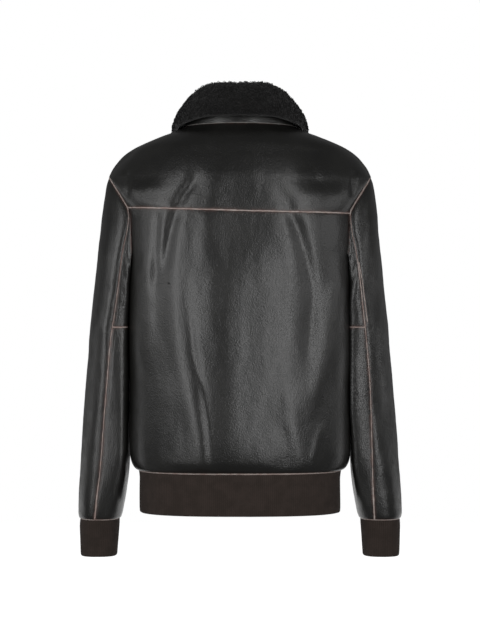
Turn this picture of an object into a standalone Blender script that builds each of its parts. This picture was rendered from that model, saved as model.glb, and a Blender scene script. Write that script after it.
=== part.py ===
"""Leather jacket with a fleece fall collar and rib knit hem and cuffs.

The jacket stands filled out and hollow, as it is worn.  +Z is up, the fronts face -Y and the
wearer's left is +X.  The origin is the middle of the shoulder line, where the wearer carries it.
Sizes are millimetres and angles degrees, unless a name says otherwise.
"""
import math
from collections import namedtuple

import bmesh
import bpy
import numpy as np
from mathutils import Matrix, Vector

METRES = 0.001

# ---- driving dimensions ---------------------------------------------------------------------
LEATHER = 2.0                 # wall of every leather panel
SEAM_SETBACK = 0.22           # each cut edge is drawn back by this, so a seam gapes 0.44
KNIT = 2.6                    # wall of the rib knit
FRONT_EDGE = 8.2              # half width of the slot that the zip fills
HEM_SEAM = -577.0             # height of the seam between leather and hem rib
HEM_BOTTOM = -647.0
CUFF_SEAM = -662.2            # height of the seam between sleeve and cuff
CUFF_BOTTOM = -725.0
ELBOW_SEAM = -335.0
YOKE_SEAM = -140.5            # at the armholes, before its tilt
YOKE_TILT = 4.8               # the seam is this much higher at the wearer's left armhole
YOKE_SAG = 3.0                # and this much lower in the middle

# The armhole is an oval seen from the side, between the shoulder point and the underarm.
ARMHOLE_TOP = -80.0
ARMHOLE_BOTTOM = -262.0
ARMHOLE_BACK = 64.0
ARMHOLE_FRONT = 68.0
ARMHOLE_MIDDLE = (ARMHOLE_TOP + ARMHOLE_BOTTOM) / 2
ARMHOLE_HALF = (ARMHOLE_TOP - ARMHOLE_BOTTOM) / 2

# Rings of the body.  width is half the width, back and front are the depths behind and before
# the shoulder line, square is the superellipse exponent (2 is an ellipse), and drop is how far
# the ring hangs lower at the centre front.
Ring = namedtuple("Ring", "height width back front square drop")
SHOULDER_RINGS = [
    Ring(5.5, 92.0, 76.0, 76.0, 2.0, 80.5),
    Ring(-2.0, 105.5, 80.5, 84.0, 2.05, 84.0),
    Ring(-11.0, 129.5, 87.0, 90.0, 2.1, 86.0),
    Ring(-21.0, 155.0, 93.0, 95.0, 2.1, 86.0),
    Ring(-32.0, 180.0, 98.5, 99.5, 2.1, 84.0),
    Ring(-44.0, 197.5, 103.0, 104.0, 2.1, 82.0),
    Ring(-56.0, 208.5, 107.5, 108.0, 2.15, 79.0),
    Ring(-68.0, 217.0, 111.5, 111.0, 2.2, 75.0),
    Ring(-80.0, 222.5, 115.0, 114.5, 2.25, 72.0),
]
LOWER_RINGS = [
    Ring(-262.0, 187.0, 123.0, 133.0, 2.75, 0.0),
    Ring(-292.0, 187.0, 124.0, 134.0, 2.7, 0.0),
    Ring(-324.0, 187.3, 124.5, 134.5, 2.65, 0.0),
    Ring(-358.0, 187.5, 124.5, 134.5, 2.6, 0.0),
    Ring(-392.0, 187.5, 124.0, 134.0, 2.6, 0.0),
    Ring(-426.0, 187.5, 123.5, 133.5, 2.6, 0.0),
    Ring(-460.0, 187.5, 123.0, 133.0, 2.6, 0.0),
    Ring(-494.0, 187.5, 122.5, 132.0, 2.6, 0.0),
    Ring(-526.0, 187.5, 121.0, 130.5, 2.6, 0.0),
    Ring(-550.0, 186.5, 118.5, 128.0, 2.6, 0.0),
    Ring(-565.0, 183.0, 115.0, 124.5, 2.6, 0.0),
    Ring(-574.0, 177.0, 110.5, 119.5, 2.6, 0.0),
    Ring(HEM_SEAM, 171.5, 107.0, 115.0, 2.6, 0.0),
]
HEM_RINGS = [
    Ring(HEM_SEAM - 0.2, 171.3, 106.8, 114.8, 2.6, 0.0),
    Ring(HEM_SEAM - 12.0, 170.0, 106.0, 114.0, 2.6, 0.0),
    Ring(HEM_BOTTOM + 8.0, 170.0, 106.0, 114.0, 2.6, 0.0),
    Ring(HEM_BOTTOM, 169.2, 105.2, 113.4, 2.6, 0.0),
]
# Rows of the body between shoulder point and underarm, as angles round the armhole.  tilt is
# the share of the yoke seam's tilt and sag that the row takes.
ArmholeRow = namedtuple("ArmholeRow", "angle tilt")
YOKE_ANGLE = math.degrees(math.acos((YOKE_SEAM - ARMHOLE_MIDDLE) / ARMHOLE_HALF))
ARMHOLE_ROWS = [
    ArmholeRow(15.0, 0.05),
    ArmholeRow(30.0, 0.2),
    ArmholeRow(44.0, 0.45),
    ArmholeRow(57.0, 0.75),
    ArmholeRow(YOKE_ANGLE, 1.0),
    ArmholeRow(86.0, 0.8),
    ArmholeRow(102.0, 0.5),
    ArmholeRow(117.0, 0.25),
    ArmholeRow(132.0, 0.1),
    ArmholeRow(149.0, 0.0),
]
# Half width of the body at the armhole's edge, by height.
ARMHOLE_EDGE = [
    (-80.0, 222.5), (-92.0, 215.0), (-105.0, 206.5), (-120.0, 197.0), (-133.0, 189.0),
    (-142.0, 184.5), (-155.0, 182.5), (-175.0, 182.5), (-200.0, 184.0), (-235.0, 186.0),
    (-262.0, 187.0),
]

# Depth of the back and of the front between the shoulder point and the underarm, by height.
BESIDE_BACK = [(-105.0, 118.0), (-142.0, 121.0), (-200.0, 123.0)]
BESIDE_FRONT = [(-105.0, 119.5), (-142.0, 125.5), (-200.0, 130.5)]

# Rings of a sleeve, from the armhole down.  outer and inner give the half widths of the body's
# outline at the ring's outermost and innermost points, whose heights are high and low; behind
# and before are the depths, middle is the ring's place along Y.
SleeveRing = namedtuple("SleeveRing", "outer high inner low behind before middle square")
SLEEVE_RINGS = [
    SleeveRing(222.5, -80.0, 187.0, -262.0, 64.0, 68.0, 0.0, 2.0),
    SleeveRing(227.3, -96.0, 188.0, -267.0, 68.0, 71.0, -1.0, 2.1),
    SleeveRing(230.3, -118.0, 188.5, -272.5, 71.0, 73.0, -2.0, 2.15),
    SleeveRing(233.8, -143.0, 188.7, -279.0, 74.0, 75.0, -4.0, 2.2),
    SleeveRing(236.5, -171.0, 188.7, -286.0, 76.0, 76.0, -6.0, 2.25),
    SleeveRing(240.6, -202.0, 188.7, -294.0, 78.0, 77.0, -9.0, 2.3),
    SleeveRing(244.6, -236.0, 188.7, -303.0, 79.0, 77.0, -12.0, 2.3),
    SleeveRing(248.4, -270.0, 188.7, -313.0, 79.0, 76.0, -15.0, 2.3),
    SleeveRing(252.2, -304.0, 188.8, -324.0, 78.0, 75.0, -17.0, 2.3),
    SleeveRing(255.5, ELBOW_SEAM, 188.8, ELBOW_SEAM, 76.5, 74.0, -18.0, 2.3),
    SleeveRing(258.4, -372.0, 188.8, -372.0, 74.0, 72.0, -19.0, 2.3),
    SleeveRing(261.8, -410.0, 188.8, -410.0, 71.0, 70.0, -20.0, 2.3),
    SleeveRing(265.0, -450.0, 188.8, -450.0, 68.0, 67.0, -21.0, 2.3),
    SleeveRing(267.9, -490.0, 188.8, -490.0, 64.0, 64.0, -22.0, 2.3),
    SleeveRing(270.4, -530.0, 188.8, -530.0, 60.0, 60.0, -23.0, 2.3),
    SleeveRing(272.8, -570.0, 189.8, -570.0, 56.0, 56.0, -24.0, 2.3),
    SleeveRing(275.4, -610.0, 193.8, -610.0, 51.5, 51.5, -25.0, 2.3),
    SleeveRing(276.4, -638.0, 198.4, -638.0, 47.0, 47.0, -25.0, 2.3),
    SleeveRing(276.6, -653.0, 201.4, -653.0, 43.5, 43.5, -25.0, 2.3),
    SleeveRing(275.4, -660.0, 203.6, -660.0, 41.0, 41.0, -25.0, 2.3),
    SleeveRing(273.4, CUFF_SEAM, 206.0, CUFF_SEAM, 38.0, 38.0, -25.0, 2.3),
]
ELBOW_ROW = 9
LOOSE_ROWS = 9                # rings over which the armhole's shape fades into the sleeve's
CUFF_RINGS = [
    SleeveRing(273.2, CUFF_SEAM - 0.2, 206.2, CUFF_SEAM - 0.2, 37.8, 37.8, -25.0, 2.3),
    SleeveRing(273.8, CUFF_SEAM - 12.0, 206.8, CUFF_SEAM - 12.0, 37.0, 37.0, -25.0, 2.4),
    SleeveRing(273.0, CUFF_BOTTOM + 8.0, 210.0, CUFF_BOTTOM + 8.0, 35.5, 35.5, -25.5, 2.4),
    SleeveRing(272.0, CUFF_BOTTOM, 211.0, CUFF_BOTTOM, 34.5, 34.5, -25.5, 2.4),
]
# Half width at which each sleeve's back seam runs, by height, and the mean for the hidden
# front seams.
BACK_SEAM = {
    1: [(-141.0, 183.5), (-174.0, 187.5), (-203.0, 193.5), (-238.0, 198.5), (-273.0, 203.0),
        (-311.0, 208.5), (-355.0, 215.7), (-430.0, 222.5), (-506.0, 229.3), (-583.0, 236.0),
        (-618.0, 241.0), (-661.0, 246.0)],
    -1: [(-141.0, 183.5), (-174.0, 185.5), (-203.0, 191.5), (-243.0, 197.5), (-273.0, 201.5),
         (-301.0, 204.5), (-355.0, 210.7), (-441.0, 218.0), (-523.0, 221.0), (-595.0, 223.5),
         (-661.0, 227.5)],
}
FRONT_SEAM = [(-141.0, 183.5), (-174.0, 188.0), (-203.0, 197.0), (-273.0, 208.0),
              (-355.0, 216.0), (-506.0, 226.0), (-661.0, 238.0)]
# How far the back of each sleeve swings in towards the body, by height.
SLEEVE_SWING = {
    1: [(-80.0, 0.0), (-262.0, 2.0), (-420.0, 3.0), (-560.0, 1.0), (-660.0, 0.0)],
    -1: [(-80.0, 0.0), (-200.0, 3.0), (-300.0, 13.0), (-460.0, 15.0), (-560.0, 5.0),
         (-660.0, 0.0)],
}
SIDE_CLEARANCE = 1.2          # between a hanging sleeve and the body

BACK_COLUMNS = 24
FRONT_COLUMNS = 8
HEM_COLUMNS = 48
ARMHOLE_GAP = 0.5             # between body and sleeve where they meet face to face

# The largest folds of the body.  Each runs from top to foot; x is its place across the body,
# reach its half width and rise its height out of the panel, less than zero for a trough.
Fold = namedtuple("Fold", "top_x top_z foot_x foot_z reach rise")
BACK_FOLDS = [
    Fold(8.0, -165.0, 24.0, -590.0, 55.0, 5.5),
    Fold(72.0, -62.0, 133.0, -228.0, 12.0, -3.6),
    Fold(96.0, -135.0, 124.0, -310.0, 10.0, -2.8),
    Fold(42.0, -60.0, 58.0, -255.0, 20.0, 2.8),
    Fold(114.0, -195.0, 66.0, -577.0, 17.0, 3.6),
    Fold(150.0, -200.0, 146.0, -400.0, 12.0, 2.4),
    Fold(-34.0, -190.0, -36.0, -480.0, 24.0, 2.2),
    Fold(-88.0, -84.0, -114.0, -350.0, 12.0, -3.4),
    Fold(-160.0, -240.0, -124.0, -450.0, 15.0, 3.4),
    Fold(-96.0, -450.0, -62.0, -545.0, 18.0, 2.6),
    Fold(191.0, -66.0, 187.0, -128.0, 6.0, -3.5),
    Fold(-191.0, -66.0, -187.0, -128.0, 6.0, -3.5),
]
FRONT_FOLDS = [
    Fold(120.0, -170.0, 86.0, -480.0, 24.0, 4.1),
    Fold(150.0, -190.0, 132.0, -430.0, 16.0, -4.1),
    Fold(60.0, -220.0, 54.0, -560.0, 22.0, -3.5),
    Fold(-112.0, -180.0, -92.0, -500.0, 24.0, 4.1),
    Fold(-150.0, -170.0, -128.0, -400.0, 16.0, -4.1),
    Fold(-58.0, -240.0, -62.0, -540.0, 22.0, -3.2),
]
SEAM_CALM = 26.0              # folds die out over this height above and below a seam

# Collar stations from centre back to the front end.  share is the way along the neck seam,
# roll_out and roll_up place the roll line from the seam, reach is how far down the body the
# fall's edge lies, lift how far it stands off the body, and belly how far the fall bulges.
CollarStation = namedtuple("CollarStation", "share roll_out roll_up reach lift belly")
COLLAR_STATIONS = [
    CollarStation(0.00, -1.0, 55.0, 1.0, 19.0, 1.5),
    CollarStation(0.17, -2.0, 57.0, 3.0, 15.5, 1.5),
    CollarStation(0.25, -3.5, 54.0, 5.0, 13.0, 1.5),
    CollarStation(0.34, -6.5, 47.0, 8.0, 9.5, 2.0),
    CollarStation(0.47, -9.5, 36.0, 12.5, 4.8, 3.0),
    CollarStation(0.62, -9.0, 30.0, 28.0, 4.0, 4.5),
    CollarStation(0.80, -7.0, 26.0, 52.0, 4.0, 6.0),
    CollarStation(1.00, -4.0, 22.0, 70.0, 4.0, 6.0),
]
COLLAR_LEATHER = 1.6
COLLAR_FLEECE = 8.0
COLLAR_LIFT = 0.5             # gap between the collar and the neck seam
COLLAR_END = 0.925            # share of the way from centre back to centre front
ROLL_RADIUS = 5.0
COLLAR_COLUMNS = 28
# Where the folded collar's profile has its points: 0 is the seam, 3 the roll, 6 the edge.
COLLAR_KNOTS = (0.0, 1.0, 1.8, 2.4, 3.0, 3.6, 4.2, 5.1, 6.0)
FLEECE_OVERHANG = 3.0         # the fleece covers the fall's edge by this
FLEECE_GAP = 0.4              # between the collar's leather and its fleece

# The zip.  depth is measured outwards from the leather's face.
TAPE_BACK = -1.9
TAPE_FACE = -0.5
TEETH_FACE = 0.8
TEETH_WIDTH = 2.9
TAPE_WIDTH = 7.7
ZIP_GAP = 0.25                # half the gap between the two tapes
ZIP_TOP = -82.0
SLIDER_WIDTH = 9.0
SLIDER_LENGTH = 11.5
SLIDER_PLATE = 1.2
PULL_LENGTH = 30.0
PULL_WIDTH = 7.0
PULL_THICKNESS = 1.4
PULL_PIVOT_DEPTH = 3.75
PULL_PIVOT_DOWN = 5.0         # below the slider's top
PULL_WIRE = 1.6               # thickness of the pull's bar and arms
BOX_WIDTH = 11.0
BOX_HEIGHT = 8.0
BOX_WALL = 1.4
BOX_GAP = 0.35

LEATHER_COLOUR = (0.030, 0.028, 0.027, 1.0)
FLEECE_COLOUR = (0.018, 0.017, 0.017, 1.0)
KNIT_COLOUR = (0.035, 0.026, 0.023, 1.0)
METAL_COLOUR = (0.35, 0.33, 0.30, 1.0)
TAPE_COLOUR = (0.02, 0.02, 0.02, 1.0)


# ---- curves ---------------------------------------------------------------------------------
class Curve:
    """A smooth curve through (key, value) pairs that never overshoots them."""

    def __init__(self, pairs):
        ordered = sorted(pairs)
        self.keys = [pair[0] for pair in ordered]
        self.values = [pair[1] for pair in ordered]
        steps = [b - a for a, b in zip(self.keys, self.keys[1:])]
        rises = [(b - a) / step for a, b, step in zip(self.values, self.values[1:], steps)]
        self.slopes = [rises[0]]
        for before, after in zip(rises, rises[1:]):
            mixed = 0.0
            if before * after > 0:
                mixed = 2 * before * after / (before + after)
            self.slopes.append(mixed)
        self.slopes.append(rises[-1])

    def __call__(self, key):
        keys = self.keys
        if key <= keys[0]:
            return self.values[0]
        if key >= keys[-1]:
            return self.values[-1]
        i = max(k for k in range(len(keys) - 1) if keys[k] <= key)
        step = keys[i + 1] - keys[i]
        t = (key - keys[i]) / step
        start = self.values[i] * (1 + 2 * t) * (1 - t) ** 2 + self.slopes[i] * step * t * (1 - t) ** 2
        end = self.values[i + 1] * t * t * (3 - 2 * t) + self.slopes[i + 1] * step * t * t * (t - 1)
        return start + end


def ease(t):
    """0 to 1 with level ends."""
    return (1 - math.cos(math.pi * min(max(t, 0.0), 1.0))) / 2


def signed_power(value, exponent):
    return math.copysign(abs(value) ** exponent, value)


# ---- the body's surface ---------------------------------------------------------------------
ARMHOLE_EDGE_CURVE = Curve(ARMHOLE_EDGE)
WHOLE_RINGS = SHOULDER_RINGS + LOWER_RINGS
BACK_DEPTH = Curve([(ring.height, ring.back) for ring in WHOLE_RINGS] + BESIDE_BACK)
FRONT_DEPTH = Curve([(ring.height, ring.front) for ring in WHOLE_RINGS] + BESIDE_FRONT)
SQUARENESS = Curve([(-80.0, 2.25), (-112.0, 2.6), (-145.0, 2.95), (-200.0, 2.9),
                    (-262.0, 2.75)])
LOWER_WIDTH = Curve([(ring.height, ring.width) for ring in LOWER_RINGS])
LOWER_SQUARE = Curve([(ring.height, ring.square) for ring in LOWER_RINGS])


def armhole_depth(height, front):
    """Distance of the armhole's edge from the shoulder line, seen from the side."""
    share = (height - ARMHOLE_MIDDLE) / ARMHOLE_HALF
    share = min(max(share, -1.0), 1.0)
    return (ARMHOLE_FRONT if front else ARMHOLE_BACK) * math.sqrt(1 - share * share)


def body_rows():
    """Every row of the body from neck seam to hem seam, as (ring, tilt share)."""
    rows = [(ring, 0.0) for ring in SHOULDER_RINGS]
    last_drop = SHOULDER_RINGS[-1].drop
    for row in ARMHOLE_ROWS:
        height = ARMHOLE_MIDDLE + ARMHOLE_HALF * math.cos(math.radians(row.angle))
        drop = last_drop * (height - ARMHOLE_BOTTOM) / (ARMHOLE_TOP - ARMHOLE_BOTTOM)
        ring = Ring(height, 0.0, BACK_DEPTH(height), FRONT_DEPTH(height),
                    SQUARENESS(height), drop)
        rows.append((ring, row.tilt))
    rows += [(ring, 0.0) for ring in LOWER_RINGS]
    return rows


BODY_ROWS = body_rows()
TOP_ROW = len(SHOULDER_RINGS) - 1
YOKE_ROW = TOP_ROW + 5
UNDERARM_ROW = len(SHOULDER_RINGS) + len(ARMHOLE_ROWS)


def row_edge(row, side, front):
    """Half width, depth and height of a row's end: at the armhole, or at the side line."""
    ring, tilt = BODY_ROWS[row]
    if row <= TOP_ROW or row >= UNDERARM_ROW:
        return ring.width, 0.0, ring.height
    height = ring.height + side * tilt * YOKE_TILT
    return ARMHOLE_EDGE_CURVE(height), armhole_depth(height, front), height


def section(row, side, front, last_x=0.0, count=BACK_COLUMNS // 2):
    """Points of half a row, evenly spaced from the centre line to its edge, as (x, y, z)."""
    ring, tilt = BODY_ROWS[row]
    depth = ring.front if front else ring.back
    edge_x, edge_y, edge_z = row_edge(row, side, front)
    power = 2 / ring.square
    width = edge_x / (1 - (edge_y / depth) ** ring.square) ** (1 / ring.square)
    turn = math.asin(min(1.0, (edge_x / width) ** (ring.square / 2)))
    start = math.asin((last_x / width) ** (ring.square / 2))
    fine = [start + (turn - start) * i / 240 for i in range(241)]
    xs = [width * math.sin(t) ** power for t in fine]
    ys = [depth * max(math.cos(t), 0.0) ** power for t in fine]
    lengths = np.concatenate([[0.0], np.cumsum(np.hypot(np.diff(xs), np.diff(ys)))])
    wanted = np.linspace(0.0, lengths[-1], count + 1)
    across = np.interp(wanted, lengths, xs)
    deep = np.interp(wanted, lengths, ys)
    points = []
    for i in range(count + 1):
        share = i / count
        if front:
            height = edge_z - ring.drop * ease(1 - share)
        else:
            sag = tilt * YOKE_SAG * (1 - share * share)
            height = ring.height + side * tilt * YOKE_TILT * across[i] / edge_x - sag
        points.append(Vector((side * across[i], -deep[i] if front else deep[i], height)))
    return points


def fold_rise(x, z, folds):
    """Height of the folds at one place of the body."""
    total = 0.0
    for fold in folds:
        along = (fold.top_z - z) / (fold.top_z - fold.foot_z)
        if 0.0 < along < 1.0:
            middle = fold.top_x + (fold.foot_x - fold.top_x) * along
            across = (x - middle) / fold.reach
            fade = ease(along * 4) * ease((1 - along) * 3)
            total += fold.rise * fade * math.exp(-across * across)
    return total


def calm(z, seams):
    """1 away from the seams and 0 on them."""
    nearest = min(abs(z - seam) for seam in seams)
    return ease(nearest / SEAM_CALM)


def back_grid(first, last):
    """Rows of the back from first to last, each from the wearer's left edge to the right."""
    grid = []
    for row in range(first, last + 1):
        left = section(row, 1, False)
        right = section(row, -1, False)
        grid.append(left[::-1] + right[1:])
    return grid


def front_grid(side):
    """Rows of one front, each from the centre front to the side edge."""
    return [section(row, side, True, FRONT_EDGE, FRONT_COLUMNS)
            for row in range(len(BODY_ROWS))]


def raise_folds(grid, folds, seams, edge_columns):
    """Move a grid's points out by its folds, dying out at seams and at the grid's edges."""
    flat = [[point.copy() for point in row] for row in grid]
    for i, row in enumerate(flat):
        for j, point in enumerate(row):
            if i == 0 or i == len(flat) - 1:
                continue
            from_edge = min(j - edge_columns[0], edge_columns[1] - j)
            if from_edge <= 0:
                continue
            normal = (flat[i + 1][j] - flat[i - 1][j]).cross(row[j + 1] - row[j - 1]).normalized()
            share = min(1.0, from_edge / 2)
            rise = fold_rise(point.x, point.z, folds) * calm(point.z, seams) * share
            grid[i][j] = point + normal * rise


# ---- the sleeves' surface -------------------------------------------------------------------
def ring_point(ring, angle, swing=0.0):
    """A point of a sleeve ring, unmirrored; angle 0 is outermost, 90 behind, 180 innermost."""
    power = 2 / ring.square
    c = signed_power(math.cos(math.radians(angle)), power)
    s = signed_power(math.sin(math.radians(angle)), power)
    x = (ring.outer + ring.inner) / 2 + (ring.outer - ring.inner) / 2 * c - swing * s
    z = (ring.high + ring.low) / 2 + (ring.high - ring.low) / 2 * c
    y = ring.middle + (ring.behind if s > 0 else ring.before) * s
    return Vector((x, y, z))


def swung_point(ring, angle, swing):
    """A ring point after the swing, scaled so that the ring keeps its outer half width."""
    outer = max(ring_point(ring, a, swing).x for a in range(-60, 61, 5))
    scale = (ring.outer - ring.inner) / (outer - ring.inner)
    point = ring_point(ring, angle, swing)
    point.x = ring.inner + (point.x - ring.inner) * scale
    return point


def armhole_point(angle):
    """The armhole's edge at an angle round it, unmirrored."""
    height = ARMHOLE_MIDDLE + ARMHOLE_HALF * math.cos(math.radians(angle))
    front = math.sin(math.radians(angle)) < 0
    depth = armhole_depth(height, front)
    return Vector((ARMHOLE_EDGE_CURVE(height), -depth if front else depth, height))


def body_half_width(y, z):
    """Half width of the body at one depth and height, beside or below the armhole."""
    depth = BACK_DEPTH(z) if y > 0 else FRONT_DEPTH(z)
    square = LOWER_SQUARE(z)
    width = LOWER_WIDTH(z)
    if z > ARMHOLE_BOTTOM:
        square = SQUARENESS(z)
        edge = armhole_depth(z, y < 0) / depth
        width = ARMHOLE_EDGE_CURVE(z) / (1 - edge ** square) ** (1 / square)
    share = min(abs(y) / depth, 1.0)
    return width * (1 - share ** square) ** (1 / square)


def past_armhole(y, z):
    """How far a place of the side lies outside the armhole's oval."""
    reach = ARMHOLE_FRONT if y < 0 else ARMHOLE_BACK
    return (math.hypot((z - ARMHOLE_MIDDLE) / ARMHOLE_HALF, y / reach) - 1) * reach


def sleeve_point(row, angle, side):
    """The sleeve's outer surface, unmirrored, at a ring and an angle."""
    ring = SLEEVE_RINGS[row]
    if row == 0:
        return armhole_point(angle)
    swing = Curve(SLEEVE_SWING[side])((ring.high + ring.low) / 2)
    point = swung_point(ring, angle, swing)
    if row < LOOSE_ROWS:
        pull = armhole_point(angle) - ring_point(SLEEVE_RINGS[0], angle)
        point += pull * (1 - row / LOOSE_ROWS) ** 2
    beyond = past_armhole(point.y, point.z)
    if YOKE_SEAM > point.z > HEM_SEAM and beyond > 0:
        room = min(SIDE_CLEARANCE, ARMHOLE_GAP + 0.15 * beyond)
        point.x = max(point.x, body_half_width(point.y, point.z) + room)
    return point


def seam_angle(row, side, table, sign):
    """The angle at which a lengthwise seam crosses a ring."""
    seam = Curve(table)
    best = None
    for step in range(400):
        angle = 55.0 + 0.25 * step
        point = sleeve_point(row, sign * angle, side)
        miss = point.x - seam(point.z)
        if best is not None and best[1] > 0 >= miss:
            share = best[1] / (best[1] - miss)
            return best[0] + (angle - best[0]) * share
        best = (angle, miss)
    return best[0]


def armhole_angles(side):
    """Angles of the armhole's vertices from shoulder point to underarm, one for each row."""
    angles = []
    for row in range(TOP_ROW, UNDERARM_ROW + 1):
        height = row_edge(row, side, False)[2]
        share = min(max((height - ARMHOLE_MIDDLE) / ARMHOLE_HALF, -1.0), 1.0)
        angles.append(math.degrees(math.acos(share)))
    return angles


def sleeve_grids(side):
    """The outer panel and the under panel of a sleeve, as grids seen from outside."""
    start = armhole_angles(side)
    split = YOKE_ROW - TOP_ROW
    yoke = start[split]
    outer_grid = []
    under_grid = []
    for row in range(len(SLEEVE_RINGS)):
        back = yoke if row == 0 else seam_angle(row, side, BACK_SEAM[side], 1)
        front = yoke if row == 0 else seam_angle(row, side, FRONT_SEAM, -1)
        top_front = [-front * angle / yoke for angle in start[split:0:-1]]
        top_back = [back * angle / yoke for angle in start[:split + 1]]
        low_back = [180 - (180 - back) * (180 - angle) / (180 - yoke) for angle in start[split:]]
        low_front = [180 + (180 - front) * (180 - angle) / (180 - yoke)
                     for angle in start[-2:split - 1:-1]]
        outer = [sleeve_point(row, angle, side) for angle in top_front + top_back]
        under = [sleeve_point(row, angle, side) for angle in low_back + low_front]
        outer_grid.append(outer)
        under_grid.append(under)
    return orient(outer_grid, side), orient(under_grid, side)


def orient(grid, side):
    """Mirror a grid to its side of the body and keep its columns left to right from outside."""
    if side > 0:
        return grid
    return [[Vector((-point.x, point.y, point.z)) for point in reversed(row)] for row in grid]


# ---- shells ---------------------------------------------------------------------------------
def point_key(point):
    return (round(point.x, 3), round(point.y, 3), round(point.z, 3))


def shared_normals(grids):
    """Outward normals for each point, shared by all the grids that meet there."""
    sums = {}
    for grid in grids:
        for upper, lower in zip(grid, grid[1:]):
            for j in range(len(upper) - 1):
                corners = (upper[j], upper[j + 1], lower[j + 1], lower[j])
                normal = (lower[j + 1] - upper[j]).cross(upper[j + 1] - lower[j])
                for corner in corners:
                    key = point_key(corner)
                    sums[key] = sums.get(key, Vector()) + normal
    return {key: total.normalized() for key, total in sums.items()}


def draw_back(grid, amount):
    """Move the grid's four edges towards its inside, so that it stops short of its seams."""
    result = [[point.copy() for point in row] for row in grid]
    last_row = len(grid) - 1
    last_column = len(grid[0]) - 1
    for i, row in enumerate(grid):
        for j, point in enumerate(row):
            along_row = (row[min(j + 1, last_column)] - row[max(j - 1, 0)]).normalized()
            along_column = (grid[min(i + 1, last_row)][j] - grid[max(i - 1, 0)][j]).normalized()
            ways = []
            if i in (0, last_row):
                inner = grid[1 if i == 0 else last_row - 1][j] - point
                ways.append((inner - along_row * inner.dot(along_row)).normalized())
            if j in (0, last_column):
                inner = row[1 if j == 0 else last_column - 1] - point
                ways.append((inner - along_column * inner.dot(along_column)).normalized())
            if len(ways) == 1:
                result[i][j] += ways[0] * amount
            if len(ways) == 2:
                result[i][j] += (ways[0] + ways[1]) * (amount / (1 + ways[0].dot(ways[1])))
    return result


def closed_shell(name, outside, inside, material, wrap=False):
    """A closed wall between two grids of points; wrap joins its last column to its first."""
    rows = len(outside)
    columns = len(outside[0])
    mesh = bmesh.new()
    front = [[mesh.verts.new(point * METRES) for point in row] for row in outside]
    back = [[mesh.verts.new(point * METRES) for point in row] for row in inside]
    spans = columns if wrap else columns - 1
    for i in range(rows - 1):
        for j in range(spans):
            k = (j + 1) % columns
            mesh.faces.new((front[i][j], front[i + 1][j], front[i + 1][k], front[i][k]))
            mesh.faces.new((back[i][j], back[i][k], back[i + 1][k], back[i + 1][j]))
    for j in range(spans):
        k = (j + 1) % columns
        mesh.faces.new((front[0][j], front[0][k], back[0][k], back[0][j]))
        mesh.faces.new((front[-1][k], front[-1][j], back[-1][j], back[-1][k]))
    if not wrap:
        for i in range(rows - 1):
            mesh.faces.new((front[i + 1][0], front[i][0], back[i][0], back[i + 1][0]))
            mesh.faces.new((front[i][-1], front[i + 1][-1], back[i + 1][-1], back[i][-1]))
    return finish_mesh(name, mesh, material)


def finish_mesh(name, mesh, material, smooth=True):
    """Turn a closed bmesh into an object with outward faces."""
    bmesh.ops.triangulate(mesh, faces=mesh.faces[:])
    bmesh.ops.recalc_face_normals(mesh, faces=mesh.faces[:])
    if mesh.calc_volume(signed=True) < 0:
        bmesh.ops.reverse_faces(mesh, faces=mesh.faces[:])
    data = bpy.data.meshes.new(name)
    mesh.to_mesh(data)
    mesh.free()
    piece = bpy.data.objects.new(name, data)
    piece.data.materials.append(material)
    bpy.data.collections["leather_jacket"].objects.link(piece)
    if smooth:
        data.shade_smooth()
        data.set_sharp_from_angle(angle=math.radians(50))
    return piece


def leather_panel(name, grid, normals, material, neighbour=None):
    """One cut panel of leather: its outer grid, and an inner one a wall's thickness behind.

    Where the panel faces its neighbour instead of running on into it, it stands off a little.
    """
    outside = draw_back(grid, SEAM_SETBACK)
    inside = [[None] * len(row) for row in grid]
    for i, row in enumerate(grid):
        for j, point in enumerate(row):
            normal = normals[point_key(point)]
            if neighbour and point_key(point) in neighbour:
                facing = 1 - min(max(normal.dot(neighbour[point_key(point)]), 0.0), 1.0)
                outside[i][j] -= normal * ARMHOLE_GAP * facing
            inside[i][j] = outside[i][j] - normal * LEATHER
    return closed_shell(name, outside, inside, material)


def plain_material(name, colour, roughness, metallic=0.0):
    material = bpy.data.materials.new(name)
    material.use_nodes = True
    shader = material.node_tree.nodes["Principled BSDF"]
    shader.inputs["Base Color"].default_value = colour
    shader.inputs["Roughness"].default_value = roughness
    shader.inputs["Metallic"].default_value = metallic
    return material


# ---- panels of leather ----------------------------------------------------------------------
def build_leather():
    yoke = back_grid(0, YOKE_ROW)
    back = back_grid(YOKE_ROW, len(BODY_ROWS) - 1)
    seams = (YOKE_SEAM, HEM_SEAM)
    raise_folds(yoke, BACK_FOLDS, seams, (0, BACK_COLUMNS))
    raise_folds(back, BACK_FOLDS, seams, (0, BACK_COLUMNS))
    fronts = {}
    for side in (1, -1):
        grid = front_grid(side)
        if side < 0:
            grid = [row[::-1] for row in grid]
        raise_folds(grid, FRONT_FOLDS, (HEM_SEAM,), (0, FRONT_COLUMNS))
        fronts[side] = grid
    panels = {"back_yoke": yoke, "back_panel": back,
              "front_left": fronts[1], "front_right": fronts[-1]}
    for side, word in ((1, "left"), (-1, "right")):
        outer, under = sleeve_grids(side)
        panels["sleeve_outer_" + word] = outer
        panels["sleeve_under_upper_" + word] = under[:ELBOW_ROW + 1]
        panels["sleeve_under_lower_" + word] = under[ELBOW_ROW:]
    sleeve_names = [name for name in panels if name.startswith("sleeve")]
    body = shared_normals([panels[name] for name in panels if name not in sleeve_names])
    sleeves = shared_normals([panels[name] for name in sleeve_names])
    part_armholes(body, sleeves)
    for name, grid in panels.items():
        material = plain_material(name, LEATHER_COLOUR, 0.42)
        if name in sleeve_names:
            leather_panel(name, grid, sleeves, material, body)
        else:
            leather_panel(name, grid, body, material)


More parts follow.
